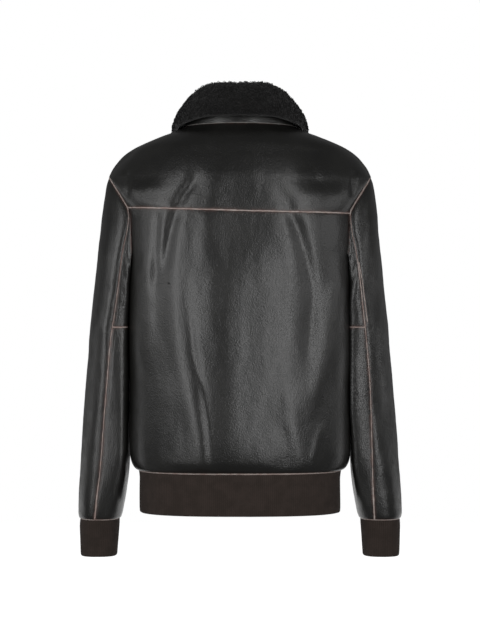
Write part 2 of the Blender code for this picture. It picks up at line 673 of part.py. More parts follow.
def part_armholes(body, sleeves):
    """Where body and sleeve run on into each other, give both the mitre's normal."""
    for key in set(body) & set(sleeves):
        alike = min(max(body[key].dot(sleeves[key]) / 0.6, 0.0), 1.0)
        mitre = (body[key] + sleeves[key]).normalized()
        body[key] = body[key].lerp(mitre, alike).normalized()
        sleeves[key] = sleeves[key].lerp(mitre, alike).normalized()


# ---- rib knit -------------------------------------------------------------------------------
def knit_tube(name, outside, wrap):
    """A wall of rib knit inside a grid of points."""
    inside = []
    columns = len(outside[0])
    for row in outside:
        inner = []
        for j, point in enumerate(row):
            before = row[(j - 1) % columns] if wrap else row[max(j - 1, 0)]
            after = row[(j + 1) % columns] if wrap else row[min(j + 1, columns - 1)]
            along = after - before
            inward = Vector((0, 0, 1)).cross(along).normalized()
            inner.append(point + inward * KNIT)
        inside.append(inner)
    return closed_shell(name, outside, inside, plain_material(name, KNIT_COLOUR, 0.9), wrap)


def hem_row(ring):
    """A ring of the hem rib, from the centre front round the wearer's left to the other edge."""
    power = 2 / ring.square
    fine = []
    for i in range(721):
        turn = math.radians(i / 2)
        depth = ring.front if math.cos(turn) > 0 else ring.back
        fine.append(Vector((ring.width * signed_power(math.sin(turn), power),
                            -depth * signed_power(math.cos(turn), power), ring.height)))
    lengths = [0.0]
    for a, b in zip(fine, fine[1:]):
        lengths.append(lengths[-1] + (b - a).length)
    first = FRONT_EDGE
    last = lengths[-1] - FRONT_EDGE
    row = []
    for k in range(HEM_COLUMNS + 1):
        wanted = first + (last - first) * k / HEM_COLUMNS
        row.append(Vector([float(np.interp(wanted, lengths, [p[axis] for p in fine]))
                           for axis in range(3)]))
    return row


def build_knit():
    knit_tube("hem_rib", [hem_row(ring) for ring in HEM_RINGS], False)
    for side, word in ((1, "left"), (-1, "right")):
        grid = [[ring_point(ring, 15.0 * k) for k in range(24)] for ring in CUFF_RINGS]
        knit_tube("cuff_" + word, orient(grid, side), True)


# ---- collar ---------------------------------------------------------------------------------
def body_profile(side, share):
    """The body's surface below one place of the neck seam, as points from the seam down."""
    rows = []
    for row in range(TOP_ROW + 1):
        half = section(row, side, False, 0.0, 60) + section(row, side, True, 0.0, 60)[::-1][1:]
        lengths = [0.0]
        for a, b in zip(half, half[1:]):
            lengths.append(lengths[-1] + (b - a).length)
        wanted = share * lengths[-1]
        rows.append(Vector([float(np.interp(wanted, lengths, [p[axis] for p in half]))
                            for axis in range(3)]))
    return rows


def neck_frame(side, share):
    """A place of the neck seam, the level direction away from the neck, and the body below."""
    here = body_profile(side, share)
    near = body_profile(side, max(share - 0.01, 0.0))[0]
    far = body_profile(side, min(share + 0.01, 1.0))[0]
    along = far - near
    out = Vector((along.y, -along.x, 0.0)) * -side
    return here[0], out.normalized(), here


def collar_profile(side, share):
    """The middle surface of the folded collar at one place: seam, roll, and the fall's edge."""
    keys = [station.share for station in COLLAR_STATIONS]
    values = {name: Curve(list(zip(keys, [getattr(s, name) for s in COLLAR_STATIONS])))
              for name in ("roll_out", "roll_up", "reach", "lift", "belly")}
    place, out, body = neck_frame(side, share)
    along = share / COLLAR_END
    roll_out = values["roll_out"](along)
    roll_up = values["roll_up"](along)
    lengths = [0.0]
    for a, b in zip(body, body[1:]):
        lengths.append(lengths[-1] + (b - a).length)
    reach = values["reach"](along)
    foot = Vector([float(np.interp(reach, lengths, [p[axis] for p in body]))
                   for axis in range(3)])
    further = Vector([float(np.interp(reach + 6, lengths, [p[axis] for p in body]))
                      for axis in range(3)])
    nearer = Vector([float(np.interp(max(reach - 6, 0), lengths, [p[axis] for p in body]))
                     for axis in range(3)])
    down = (further - nearer).normalized()
    side_way = Vector((out.y, -out.x, 0.0)) * side
    off = down.cross(side_way).normalized()
    if off.z < 0:
        off = -off
    edge = foot + off * values["lift"](along)
    up = Vector((0.0, 0.0, 1.0))

    def at(r, z):
        return place + out * r + up * z

    roll = at(roll_out, roll_up)
    fall_start = at(roll_out + ROLL_RADIUS, roll_up - ROLL_RADIUS)
    fall = edge - fall_start
    bulge = (out * fall.length - fall * (fall.dot(out) / fall.length)).normalized()
    belly = fall_start + fall * 0.5 + bulge * values["belly"](along)
    keys3d = [at(0.0, COLLAR_LIFT),
              at(roll_out * 0.5 - 1.0, roll_up * 0.45),
              at(roll_out - ROLL_RADIUS, roll_up - ROLL_RADIUS * 1.2),
              roll, fall_start, belly, edge]
    return [spline_point(keys3d, knot) for knot in COLLAR_KNOTS]


def spline_point(points, knot):
    """A point of the Catmull-Rom curve through the given points, which lie at whole knots."""
    padded = [points[0] * 2 - points[1]] + points + [points[-1] * 2 - points[-2]]
    k = min(int(knot), len(points) - 2)
    t = knot - k
    a, b, c, d = padded[k:k + 4]
    return 0.5 * (2 * b + (c - a) * t + (2 * a - 5 * b + 4 * c - d) * t * t
                  + (3 * b - a - 3 * c + d) * t ** 3)


def collar_grid():
    """Profiles round the whole neck, and the directions from leather to fleece."""
    half = COLLAR_COLUMNS // 2
    profiles = [collar_profile(1 if k >= 0 else -1, COLLAR_END * abs(k) / half)
                for k in range(-half, half + 1)]
    count = len(profiles)
    normals = []
    for k, points in enumerate(profiles):
        before = profiles[max(k - 1, 0)]
        after = profiles[min(k + 1, count - 1)]
        row = []
        for i in range(len(points)):
            along = points[min(i + 1, len(points) - 1)] - points[max(i - 1, 0)]
            round_neck = after[i] - before[i]
            row.append(round_neck.cross(along).normalized())
        normals.append(row)
    return profiles, normals


def build_collar():
    profiles, normals = collar_grid()
    longer = [ps + [ps[-1] + (ps[-1] - ps[-2]).normalized() * FLEECE_OVERHANG] for ps in profiles]
    more_normals = [ns + [ns[-1]] for ns in normals]
    collar_layer("collar_leather", profiles, normals, -COLLAR_LEATHER, 0.0,
                 plain_material("collar_leather", LEATHER_COLOUR, 0.42))
    collar_layer("collar_fleece", longer, more_normals, FLEECE_GAP, COLLAR_FLEECE,
                 plain_material("collar_fleece", FLEECE_COLOUR, 0.95))


def collar_layer(name, profiles, normals, near, far, material):
    """One layer of the collar, between two distances from its middle surface."""
    inner = [[p + n * near for p, n in zip(ps, ns)] for ps, ns in zip(profiles, normals)]
    outer = [[p + n * far for p, n in zip(ps, ns)] for ps, ns in zip(profiles, normals)]
    closed_shell(name, outer, inner, material)


# ---- zip ------------------------------------------------------------------------------------
def front_line(depth):
    """The centre front from neck to hem, moved out by depth, as (y, z) points."""
    points = [(-ring.front, ring.height - ring.drop) for ring, _ in BODY_ROWS]
    points += [(-ring.front, ring.height) for ring in HEM_RINGS[1:]]
    moved = []
    for i, (y, z) in enumerate(points):
        before = points[max(i - 1, 0)]
        after = points[min(i + 1, len(points) - 1)]
        down = Vector((0.0, after[0] - before[0], after[1] - before[1])).normalized()
        normal = Vector((0.0, down.z, -down.y))
        moved.append(Vector((0.0, y, z)) + normal * depth)
    return moved


def zip_frame():
    """Where the slider sits: a point on the leather's face, and the ways down and out."""
    line = front_line(0.0)
    above = max((p for p in line if p.z < ZIP_TOP), key=lambda p: p.z)
    before = min((p for p in line if p.z >= ZIP_TOP), key=lambda p: p.z)
    share = (before.z - ZIP_TOP) / (before.z - above.z)
    place = before.lerp(above, share)
    down = (above - before).normalized()
    return place, down, Vector((0.0, down.z, -down.y))


def build_tapes():
    place, down, out = zip_frame()
    for side, word in ((1, "left"), (-1, "right")):
        section_points = [(ZIP_GAP, TAPE_BACK), (TAPE_WIDTH, TAPE_BACK), (TAPE_WIDTH, TAPE_FACE),
                          (TEETH_WIDTH, TAPE_FACE), (TEETH_WIDTH, TEETH_FACE),
                          (ZIP_GAP, TEETH_FACE)]
        lines = []
        face = front_line(0.0)
        for x, depth in section_points:
            line = [p for p, q in zip(front_line(depth), face) if q.z < ZIP_TOP - SLIDER_LENGTH]
            across = Vector((side * x, 0, 0)) + out * depth
            straight = [place + down * reach + across for reach in (3.0, SLIDER_LENGTH)]
            lines.append(straight + [p + Vector((side * x, 0, 0)) for p in line])
        mesh = bmesh.new()
        verts = [[mesh.verts.new(p * METRES) for p in line] for line in lines]
        count = len(lines)
        for a in range(count):
            b = (a + 1) % count
            for i in range(len(verts[a]) - 1):
                mesh.faces.new((verts[a][i], verts[b][i], verts[b][i + 1], verts[a][i + 1]))
        mesh.faces.new([line[0] for line in verts])
        mesh.faces.new([line[-1] for line in reversed(verts)])
        name = "zip_tape_" + word
        finish_mesh(name, mesh, plain_material(name, TAPE_COLOUR, 0.7), smooth=False)


def box_between(mesh, low, high):
    """A box in a bmesh, from its low corner to its high one."""
    made = bmesh.ops.create_cube(mesh, size=1.0)
    middle = (Vector(low) + Vector(high)) / 2
    size = Vector(high) - Vector(low)
    for vertex in made["verts"]:
        vertex.co = Vector([vertex.co[i] * size[i] + middle[i] for i in range(3)])


def boxes_object(name, boxes, material):
    """Boxes joined into one solid by exact unions."""
    objects = []
    for low, high in boxes:
        mesh = bmesh.new()
        box_between(mesh, low, high)
        data = bpy.data.meshes.new(name)
        mesh.to_mesh(data)
        mesh.free()
        objects.append(bpy.data.objects.new(name, data))
    main = objects[0]
    bpy.data.collections["leather_jacket"].objects.link(main)
    main.data.materials.append(material)
    for other in objects[1:]:
        bpy.data.collections["cutters"].objects.link(other)
        other.hide_render = True
        other.display_type = "WIRE"
        union = main.modifiers.new("union", "BOOLEAN")
        union.operation = "UNION"
        union.object = other
    return main


def zip_matrix(place, down, out):
    """From the slider's own axes (x across, y out of the leather, z up the zip) to the body."""
    up = -down
    across = Vector((1.0, 0.0, 0.0))
    rotation = Matrix((across, out, up)).transposed().to_4x4()
    return Matrix.Translation(place * METRES) @ rotation


def build_slider():
    """The slider: two plates round the tapes, a post above them, and a bridge for the pull."""
    place, down, out = zip_frame()
    frame = zip_matrix(place, down, out)
    half = SLIDER_WIDTH / 2
    plate = TEETH_FACE + 0.4
    face = plate + SLIDER_PLATE
    rear = TAPE_BACK - 0.4
    bridge = 1.1
    pivot = -PULL_PIVOT_DOWN
    hole = PULL_WIRE / 2 + 0.35
    crown = PULL_PIVOT_DEPTH + hole + bridge
    boxes = [
        ((-half, plate, -SLIDER_LENGTH), (half, face, 0.0)),
        ((-half, rear - SLIDER_PLATE, -SLIDER_LENGTH), (half, rear, 0.0)),
        ((-2.0, rear - 0.5, -2.6), (2.0, plate + 0.5, 0.0)),
        ((-1.5, face - 0.3, pivot + hole), (1.5, crown, pivot + hole + bridge)),
        ((-1.5, face - 0.3, pivot - hole - bridge), (1.5, crown, pivot - hole)),
        ((-1.5, crown - bridge, pivot - hole - 0.3), (1.5, crown, pivot + hole + 0.3)),
    ]
    scaled = [[[v * METRES for v in corner] for corner in box] for box in boxes]
    slider = boxes_object("zip_slider", scaled, plain_material("zip_slider", METAL_COLOUR, 0.3, 1.0))
    place_boxes(slider, frame)


def place_boxes(piece, frame):
    """Put a piece and its union partners into the body's axes."""
    piece.matrix_world = frame
    for modifier in piece.modifiers:
        modifier.object.matrix_world = frame


def build_pull():
    """The pull tab: a bar through the bridge, two arms, and a flat tab with its end below."""
    place, down, out = zip_frame()
    frame = zip_matrix(place, down, out)
    pivot = Vector((0.0, PULL_PIVOT_DEPTH, -PULL_PIVOT_DOWN))
    w = PULL_WIRE / 2
    t = PULL_THICKNESS / 2
    arm = 1.5 + 0.5
    reach = 6.0
    boxes = [
        ((-arm - PULL_WIRE, -w, -w), (arm + PULL_WIRE, w, w)),
        ((-arm - PULL_WIRE, -w, -reach - 0.5), (-arm, w, w - 0.01)),
        ((arm, -w, -reach - 0.5), (arm + PULL_WIRE, w, w - 0.01)),
        ((-PULL_WIDTH / 2, -t, -PULL_LENGTH), (PULL_WIDTH / 2, t, -reach)),
    ]
    scaled = [[[v * METRES for v in corner] for corner in box] for box in boxes]
    pull = boxes_object("zip_pull", scaled, plain_material("zip_pull", METAL_COLOUR, 0.3, 1.0))
    place_boxes(pull, frame @ Matrix.Translation(pivot * METRES))


def build_zip_box():
    """The box that holds both tapes' ends at the hem."""
    half = BOX_WIDTH / 2
    face = -HEM_RINGS[-2].front - TEETH_FACE - BOX_GAP
    rear = -HEM_RINGS[-1].front - TAPE_BACK
    floor = HEM_BOTTOM - BOX_GAP
    boxes = [
        ((-half, face - BOX_WALL, floor - BOX_WALL), (half, face, floor + BOX_HEIGHT)),
        ((-half, face - 0.3, floor - BOX_WALL), (half, rear, floor)),
    ]
    scaled = [[[v * METRES for v in corner] for corner in box] for box in boxes]
    boxes_object("zip_box", scaled, plain_material("zip_box", METAL_COLOUR, 0.3, 1.0))


def main():
    for old in list(bpy.data.objects):
        bpy.data.objects.remove(old, do_unlink=True)
    for name in ("leather_jacket", "cutters"):
        bpy.context.scene.collection.children.link(bpy.data.collections.new(name))
    build_leather()
    build_knit()
    build_collar()
    build_tapes()
    build_slider()
    build_pull()
    build_zip_box()
    bpy.context.view_layer.update()


main()
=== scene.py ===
# Leather jacket seen from the back: the finish of every surface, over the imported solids.
# Lengths in the tables are millimetres; meshes are made in metres.
import math

import bmesh
import bpy
import numpy as np
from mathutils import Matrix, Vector, noise


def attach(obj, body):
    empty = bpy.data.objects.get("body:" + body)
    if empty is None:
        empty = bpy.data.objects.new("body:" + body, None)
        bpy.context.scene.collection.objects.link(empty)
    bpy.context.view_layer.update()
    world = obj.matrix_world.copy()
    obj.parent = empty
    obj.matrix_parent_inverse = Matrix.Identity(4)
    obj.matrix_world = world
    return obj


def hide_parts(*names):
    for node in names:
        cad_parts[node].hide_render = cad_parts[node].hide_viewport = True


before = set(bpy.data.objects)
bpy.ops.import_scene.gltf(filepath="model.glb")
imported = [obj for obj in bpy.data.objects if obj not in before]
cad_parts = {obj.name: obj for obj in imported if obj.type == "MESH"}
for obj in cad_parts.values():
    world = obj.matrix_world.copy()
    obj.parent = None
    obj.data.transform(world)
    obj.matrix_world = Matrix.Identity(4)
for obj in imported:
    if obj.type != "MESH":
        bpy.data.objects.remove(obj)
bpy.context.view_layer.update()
mm = 0.001
bothSides = ((1, "left"), (-1, "right"))    # the wearer's left is on +X
mirror = np.array([-1.0, 1.0, 1.0])
print("frame loaded:", len(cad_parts), "nodes")

# the body's panels, from the neck seam to the hem seam
bodyForm = {
    # height, half width, depth behind, depth before, squareness, drop at the centre front
    "shoulder": [
        (5.5, 92, 76, 76, 2, 80.5),
        (-2, 105.5, 80.5, 84, 2.05, 84),
        (-11, 129.5, 87, 90, 2.1, 86),
        (-21, 155, 93, 95, 2.1, 86),
        (-32, 180, 98.5, 99.5, 2.1, 84),
        (-44, 197.5, 103, 104, 2.1, 82),
        (-56, 208.5, 107.5, 108, 2.15, 79),
        (-68, 217, 111.5, 111, 2.2, 75),
        (-80, 222.5, 115, 114.5, 2.25, 72),
    ],
    "lower": [
        (-262, 187, 123, 133, 2.75, 0),
        (-292, 187, 124, 134, 2.7, 0),
        (-324, 187.3, 124.5, 134.5, 2.65, 0),
        (-358, 187.5, 124.5, 134.5, 2.6, 0),
        (-392, 187.5, 124, 134, 2.6, 0),
        (-426, 187.5, 123.5, 133.5, 2.6, 0),
        (-460, 187.5, 123, 133, 2.6, 0),
        (-494, 187.5, 122.5, 132, 2.6, 0),
        (-526, 187.5, 121, 130.5, 2.6, 0),
        (-550, 186.5, 118.5, 128, 2.6, 0),
        (-565, 183, 115, 124.5, 2.6, 0),
        (-574, 177, 110.5, 119.5, 2.6, 0),
        (-577, 171.5, 107, 115, 2.6, 0),
    ],
    "besideBack": [(-105, 118), (-142, 121), (-200, 123)],
    "besideFront": [(-105, 119.5), (-142, 125.5), (-200, 130.5)],
    "squareness": [(-80, 2.25), (-112, 2.6), (-145, 2.95), (-200, 2.9), (-262, 2.75)],
    "frontEdge": 8.2,           # half the slot that the zip fills
    "hemSeam": -577.0,
    "columns": 84,              # from the centre back to the side
    "frontColumns": 80,
    "samples": 480,             # steps along half a row when its length is measured
    "rowStep": 3.4,
    "armholeReach": 78.0,       # millimetres a radian round the armhole
    "wall": 2.0,
}
armhole = {
    "top": -80.0, "bottom": -262.0, "behind": 64.0, "before": 68.0,
    "yokeSeam": -140.5, "yokeTilt": 4.8, "yokeSag": 3.0,
    # angle round the armhole and the share of the yoke seam's tilt at each row
    "rows": [(0, 0), (15, 0.05), (30, 0.2), (44, 0.45), (57, 0.75), (None, 1),
             (86, 0.8), (102, 0.5), (117, 0.25), (132, 0.1), (149, 0), (180, 0)],
    "edge": [(-80, 222.5), (-92, 215), (-105, 206.5), (-120, 197), (-133, 189),
             (-142, 184.5), (-155, 182.5), (-175, 182.5), (-200, 184),
             (-235, 186), (-262, 187)],
}
armhole["middle"] = (armhole["top"] + armhole["bottom"]) / 2
armhole["half"] = (armhole["top"] - armhole["bottom"]) / 2
armhole["yokeAngle"] = math.degrees(
    math.acos((armhole["yokeSeam"] - armhole["middle"]) / armhole["half"]))


class smoothCurve:
    # a curve through (key, value) pairs that never overshoots them
    def __init__(self, pairs):
        pairs = sorted(pairs)
        self.keys = np.array([pair[0] for pair in pairs], float)
        self.values = np.array([pair[1] for pair in pairs], float)
        rises = np.diff(self.values) / np.diff(self.keys)
        self.slopes = np.concatenate([rises[:1], np.zeros(len(rises) - 1), rises[-1:]])
        for i in range(1, len(rises)):
            if rises[i - 1] * rises[i] > 0:
                self.slopes[i] = 2 * rises[i - 1] * rises[i] / (rises[i - 1] + rises[i])

    def __call__(self, key):
        key = np.clip(key, self.keys[0], self.keys[-1])
        i = np.clip(np.searchsorted(self.keys, key, side="right") - 1, 0, len(self.keys) - 2)
        step = self.keys[i + 1] - self.keys[i]
        t = (key - self.keys[i]) / step
        start = self.values[i] * (1 + 2 * t) + self.slopes[i] * step * t
        end = self.values[i + 1] * (3 - 2 * t) + self.slopes[i + 1] * step * (t - 1)
        return start * (1 - t) ** 2 + end * t * t


def ease(t):
    return (1 - np.cos(np.pi * np.clip(t, 0.0, 1.0))) / 2


def signedPower(value, exponent):
    return np.copysign(np.abs(value) ** exponent, value)


def unit(vectors):
    return vectors / np.maximum(np.linalg.norm(vectors, axis=-1, keepdims=True), 1e-9)


def lengthsAlong(points):
    # how far along a line each of its points lies
    steps = np.linalg.norm(np.diff(points, axis=0), axis=1)
    return np.concatenate([[0.0], np.cumsum(steps)])


def sampled(points, known, wanted):
    # points read off a line at the wanted keys
    return np.stack([np.interp(wanted, known, points[:, axis]) for axis in range(3)], axis=-1)


def evenly(points, count):
    # count + 1 points at even distances along a line
    lengths = lengthsAlong(points)
    return sampled(points, lengths, np.linspace(0.0, lengths[-1], count + 1))


wholeRings = bodyForm["shoulder"] + bodyForm["lower"]
backDepth = smoothCurve([(r[0], r[2]) for r in wholeRings] + bodyForm["besideBack"])
frontDepth = smoothCurve([(r[0], r[3]) for r in wholeRings] + bodyForm["besideFront"])
besideSquare = smoothCurve(bodyForm["squareness"])
lowerWidth = smoothCurve([(r[0], r[1]) for r in bodyForm["lower"]])
lowerSquare = smoothCurve([(r[0], r[4]) for r in bodyForm["lower"]])
armholeEdge = smoothCurve(armhole["edge"])


def fineIndices(spacings, step):
    # fractional row numbers between whole rows that lie the given distances apart
    found = []
    for i, spacing in enumerate(spacings):
        count = max(1, round(spacing / step))
        found += [i + k / count for k in range(count)]
    return np.array(found + [float(len(spacings))])


def refined(rings, step, spacings):
    # the rings' numbers at fractional rows
    index = fineIndices(spacings, step)
    curves = [smoothCurve(list(enumerate(column))) for column in zip(*rings)]
    return index, np.stack([curve(index) for curve in curves], axis=1)


def bodyRows():
    # each row: height, half width, depths behind and before, squareness, drop, tilt share
    step = bodyForm["rowStep"]
    shoulder = bodyForm["shoulder"]
    gaps = [math.dist(a[:3], b[:3]) for a, b in zip(shoulder, shoulder[1:])]
    rows = [(*value, 0.0) for value in refined(shoulder, step, gaps)[1]]
    topRow = len(rows) - 1
    angles = [(armhole["yokeAngle"] if a is None else a, tilt) for a, tilt in armhole["rows"]]
    gaps = [math.radians(b[0] - a[0]) * bodyForm["armholeReach"]
            for a, b in zip(angles, angles[1:])]
    index, values = refined(angles, step, gaps)
    lastDrop = shoulder[-1][5]
    for angle, tilt in values[1:-1]:
        height = armhole["middle"] + armhole["half"] * math.cos(math.radians(angle))
        drop = lastDrop * (height - armhole["bottom"]) / (armhole["top"] - armhole["bottom"])
        rows.append((height, 0.0, backDepth(height), frontDepth(height), besideSquare(height),
                     drop, tilt))
    yokeKey = armhole["rows"].index((None, 1))
    yokeRow = topRow + int(np.argmin(np.abs(index - yokeKey)))
    underarmRow = topRow + len(values) - 1
    lower = bodyForm["lower"]
    gaps = [math.dist(a[:2], b[:2]) for a, b in zip(lower, lower[1:])]
    rows += [(*value, 0.0) for value in refined(lower, step, gaps)[1]]
    return [tuple(float(v) for v in row) for row in rows], topRow, yokeRow, underarmRow


rows, topRow, yokeRow, underarmRow = bodyRows()
print("body rows:", len(rows), "yoke seam at", yokeRow)


def armholeDepth(height, front):
    share = np.clip((height - armhole["middle"]) / armhole["half"], -1.0, 1.0)
    return (armhole["before"] if front else armhole["behind"]) * np.sqrt(1 - share * share)


def rowEdge(row, side, front):
    # half width, depth and height of a row's end: at the armhole, or at the side line
    height, width = rows[row][:2]
    if row <= topRow or row >= underarmRow:
        return width, 0.0, height
    height += side * rows[row][6] * armhole["yokeTilt"]
    return float(armholeEdge(height)), float(armholeDepth(height, front)), height


def section(row, side, front, count, firstX=0.0):
    # half a row from the centre line to its edge, evenly spaced
    height, _, behind, before, square, drop, tilt = rows[row]
    depth = before if front else behind
    edgeX, edgeY, edgeZ = rowEdge(row, side, front)
    power = 2 / square
    width = edgeX / (1 - (edgeY / depth) ** square) ** (1 / square)
    turn = math.asin(min(1.0, (edgeX / width) ** (square / 2)))
    first = math.asin((firstX / width) ** (square / 2))
    fine = np.linspace(first, turn, bodyForm["samples"] + 1)
    xs = width * np.sin(fine) ** power
    ys = depth * np.maximum(np.cos(fine), 0.0) ** power
    across, deep, _ = evenly(np.stack([xs, ys, 0 * xs], axis=1), count).T
    share = np.linspace(0.0, 1.0, count + 1)
    if front:
        z = edgeZ - drop * ease(1 - share)
    else:
        sag = tilt * armhole["yokeSag"] * (1 - share * share)
        z = height + side * tilt * armhole["yokeTilt"] * across / edgeX - sag
    return np.stack([side * across, -deep if front else deep, z], axis=1)


def halfGrid(side, front, count, firstX=0.0):
    return np.array([section(row, side, front, count, firstX) for row in range(len(rows))])


def backGrid():
    left, right = [halfGrid(side, False, bodyForm["columns"]) for side in (1, -1)]
    return np.concatenate([left[:, ::-1], right[:, 1:]], axis=1)


def frontGrid(side):
    grid = halfGrid(side, True, bodyForm["frontColumns"], bodyForm["frontEdge"])
    return grid[:, ::side]


# the sleeves, from the armhole to the cuff
sleeveForm = {
    # outer and inner half widths, their heights, depths behind and before, middle, squareness
    "rings": [
        (222.5, -80, 187, -262, 64, 68, 0, 2),
        (227.3, -96, 188, -267, 68, 71, -1, 2.1),
        (230.3, -118, 188.5, -272.5, 71, 73, -2, 2.15),
        (233.8, -143, 188.7, -279, 74, 75, -4, 2.2),
        (236.5, -171, 188.7, -286, 76, 76, -6, 2.25),
        (240.6, -202, 188.7, -294, 78, 77, -9, 2.3),
        (244.6, -236, 188.7, -303, 79, 77, -12, 2.3),
        (248.4, -270, 188.7, -313, 79, 76, -15, 2.3),
        (252.2, -304, 188.8, -324, 78, 75, -17, 2.3),
        (255.5, -335, 188.8, -335, 76.5, 74, -18, 2.3),
        (258.4, -372, 188.8, -372, 74, 72, -19, 2.3),
        (261.8, -410, 188.8, -410, 71, 70, -20, 2.3),
        (265, -450, 188.8, -450, 68, 67, -21, 2.3),
        (267.9, -490, 188.8, -490, 64, 64, -22, 2.3),
        (270.4, -530, 188.8, -530, 60, 60, -23, 2.3),
        (272.8, -570, 189.8, -570, 56, 56, -24, 2.3),
        (275.4, -610, 193.8, -610, 51.5, 51.5, -25, 2.3),
        (276.4, -638, 198.4, -638, 47, 47, -25, 2.3),
        (276.6, -653, 201.4, -653, 43.5, 43.5, -25, 2.3),
        (275.4, -660, 203.6, -660, 41, 41, -25, 2.3),
        (273.4, -662.2, 206, -662.2, 38, 38, -25, 2.3),
    ],
    "elbow": 9,                 # ring of the elbow seam
    "looseRings": 9,            # rings over which the armhole's shape fades away
    # where the seams run: height, distance from the middle, for the left and the right sleeve
    "backSeam": {
        1: [(-141, 183.5), (-174, 187.5), (-203, 193.5), (-238, 198.5), (-273, 203),
            (-311, 208.5), (-355, 215.7), (-430, 222.5), (-506, 229.3),
            (-583, 236), (-618, 241), (-661, 246)],
        -1: [(-141, 183.5), (-174, 185.5), (-203, 191.5), (-243, 197.5), (-273, 201.5),
             (-301, 204.5), (-355, 210.7), (-441, 218), (-523, 221),
             (-595, 223.5), (-661, 227.5)],
    },
    "frontSeam": [(-141, 183.5), (-174, 188), (-203, 197), (-273, 208),
                  (-355, 216), (-506, 226), (-661, 238)],
    # how far a ring's rear is turned inward and its front outward, by height
    "swing": {
        1: [(-80, 0), (-262, 2), (-420, 3), (-560, 1), (-660, 0)],
        -1: [(-80, 0), (-200, 3), (-300, 13), (-460, 15), (-560, 5),
             (-660, 0)],
    },
    "sideClearance": 1.2,
    "armholeGap": 0.5,
    "gapSlope": 0.15,           # how fast the sleeve leaves the body beyond the armhole
    "seamSearch": (55.0, 0.25, 400),    # first angle, step and count tried for a seam
    "rowStep": 3.4,
}


def ringPoints(ring, angles, swing=0.0):
    # angle 0 is outermost, 90 behind, 180 innermost
    outer, high, inner, low, behind, before, middle, square = ring
    c = signedPower(np.cos(np.radians(angles)), 2 / square)
    s = signedPower(np.sin(np.radians(angles)), 2 / square)
    x = (outer + inner) / 2 + (outer - inner) / 2 * c - swing * s
    z = (high + low) / 2 + (high - low) / 2 * c
    y = middle + np.where(s > 0, behind, before) * s
    return np.stack([x, y, z], axis=-1)


def armholePoints(angles):
    height = armhole["middle"] + armhole["half"] * np.cos(np.radians(angles))
    front = np.sin(np.radians(angles)) < 0
    y = np.where(front, -armholeDepth(height, True), armholeDepth(height, False))
    return np.stack([armholeEdge(height), y, height], axis=-1)


def bodyHalfWidth(y, z):
    depth = np.where(y > 0, backDepth(z), frontDepth(z))
    edge = np.where(y < 0, armholeDepth(z, True), armholeDepth(z, False)) / depth
    beside = besideSquare(z)
    besideWidth = armholeEdge(z) / (1 - edge ** beside) ** (1 / beside)
    square = np.where(z > armhole["bottom"], beside, lowerSquare(z))
    width = np.where(z > armhole["bottom"], besideWidth, lowerWidth(z))
    share = np.minimum(np.abs(y) / depth, 1.0)
    return width * (1 - share ** square) ** (1 / square)


sleeveGaps = [math.hypot(b[0] - a[0], (b[1] + b[3] - a[1] - a[3]) / 2)
              for a, b in zip(sleeveForm["rings"], sleeveForm["rings"][1:])]
sleeveIndex, sleeveRings = refined(sleeveForm["rings"], sleeveForm["rowStep"], sleeveGaps)
elbowRow = int(np.argmin(np.abs(sleeveIndex - sleeveForm["elbow"])))


def sleevePoints(row, angles, side):
    index, ring = sleeveIndex[row], sleeveRings[row]
    if index == 0:
        return armholePoints(angles)
    swing = smoothCurve(sleeveForm["swing"][side])((ring[1] + ring[3]) / 2) * min(1.0, index)
    points = ringPoints(ring, angles, swing)
    widest = ringPoints(ring, np.arange(-60.0, 61.0, 5.0), swing)[:, 0].max()
    points[..., 0] = ring[2] + (points[..., 0] - ring[2]) * (ring[0] - ring[2]) / (widest - ring[2])
    if index < sleeveForm["looseRings"]:
        pull = armholePoints(angles) - ringPoints(sleeveForm["rings"][0], angles)
        points += pull * (1 - index / sleeveForm["looseRings"]) ** 2
    x, y, z = points[..., 0], points[..., 1], points[..., 2]
    reach = np.where(y < 0, armhole["before"], armhole["behind"])
    beyond = (np.hypot((z - armhole["middle"]) / armhole["half"], y / reach) - 1) * reach
    gap = sleeveForm["armholeGap"] + sleeveForm["gapSlope"] * beyond
    room = np.minimum(sleeveForm["sideClearance"], gap)
    beside = (z < armhole["yokeSeam"]) & (z > bodyForm["hemSeam"]) & (beyond > 0)
    points[..., 0] = np.where(beside, np.maximum(x, bodyHalfWidth(y, z) + room), x)
    return points


def seamAngle(row, side, table, sign):
    # where a lengthwise seam crosses a ring
    first, step, count = sleeveForm["seamSearch"]
    angles = first + step * np.arange(count)
    points = sleevePoints(row, sign * angles, side)
    miss = points[:, 0] - smoothCurve(table)(points[:, 2])
    for i in range(1, len(angles)):
        if miss[i - 1] > 0 >= miss[i]:
            return angles[i - 1] + step * miss[i - 1] / (miss[i - 1] - miss[i])
    return angles[-1]


def sleeveGrids(side):
    # outer panel and under panel, columns left to right seen from outside
    start = []
    for row in range(topRow, underarmRow + 1):
        share = np.clip((rowEdge(row, side, False)[2] - armhole["middle"]) / armhole["half"], -1, 1)
        start.append(math.degrees(math.acos(share)))
    start = np.array(start)
    split = yokeRow - topRow
    yoke = start[split]
    outer, under = [], []
    for row in range(len(sleeveRings)):
        back = yoke if row == 0 else seamAngle(row, side, sleeveForm["backSeam"][side], 1)
        front = yoke if row == 0 else seamAngle(row, side, sleeveForm["frontSeam"], -1)
        topFront = -front * start[split:0:-1] / yoke
        topBack = back * start[:split + 1] / yoke
        lowBack = 180 - (180 - back) * (180 - start[split:]) / (180 - yoke)
        lowFront = 180 + (180 - front) * (180 - start[-2:split - 1:-1]) / (180 - yoke)
        outer.append(sleevePoints(row, np.concatenate([topFront, topBack]), side))
        under.append(sleevePoints(row, np.concatenate([lowBack, lowFront]), side))
    outer, under = np.array(outer), np.array(under)
    if side < 0:
        outer, under = outer[:, ::-1] * mirror, under[:, ::-1] * mirror
    return outer, under


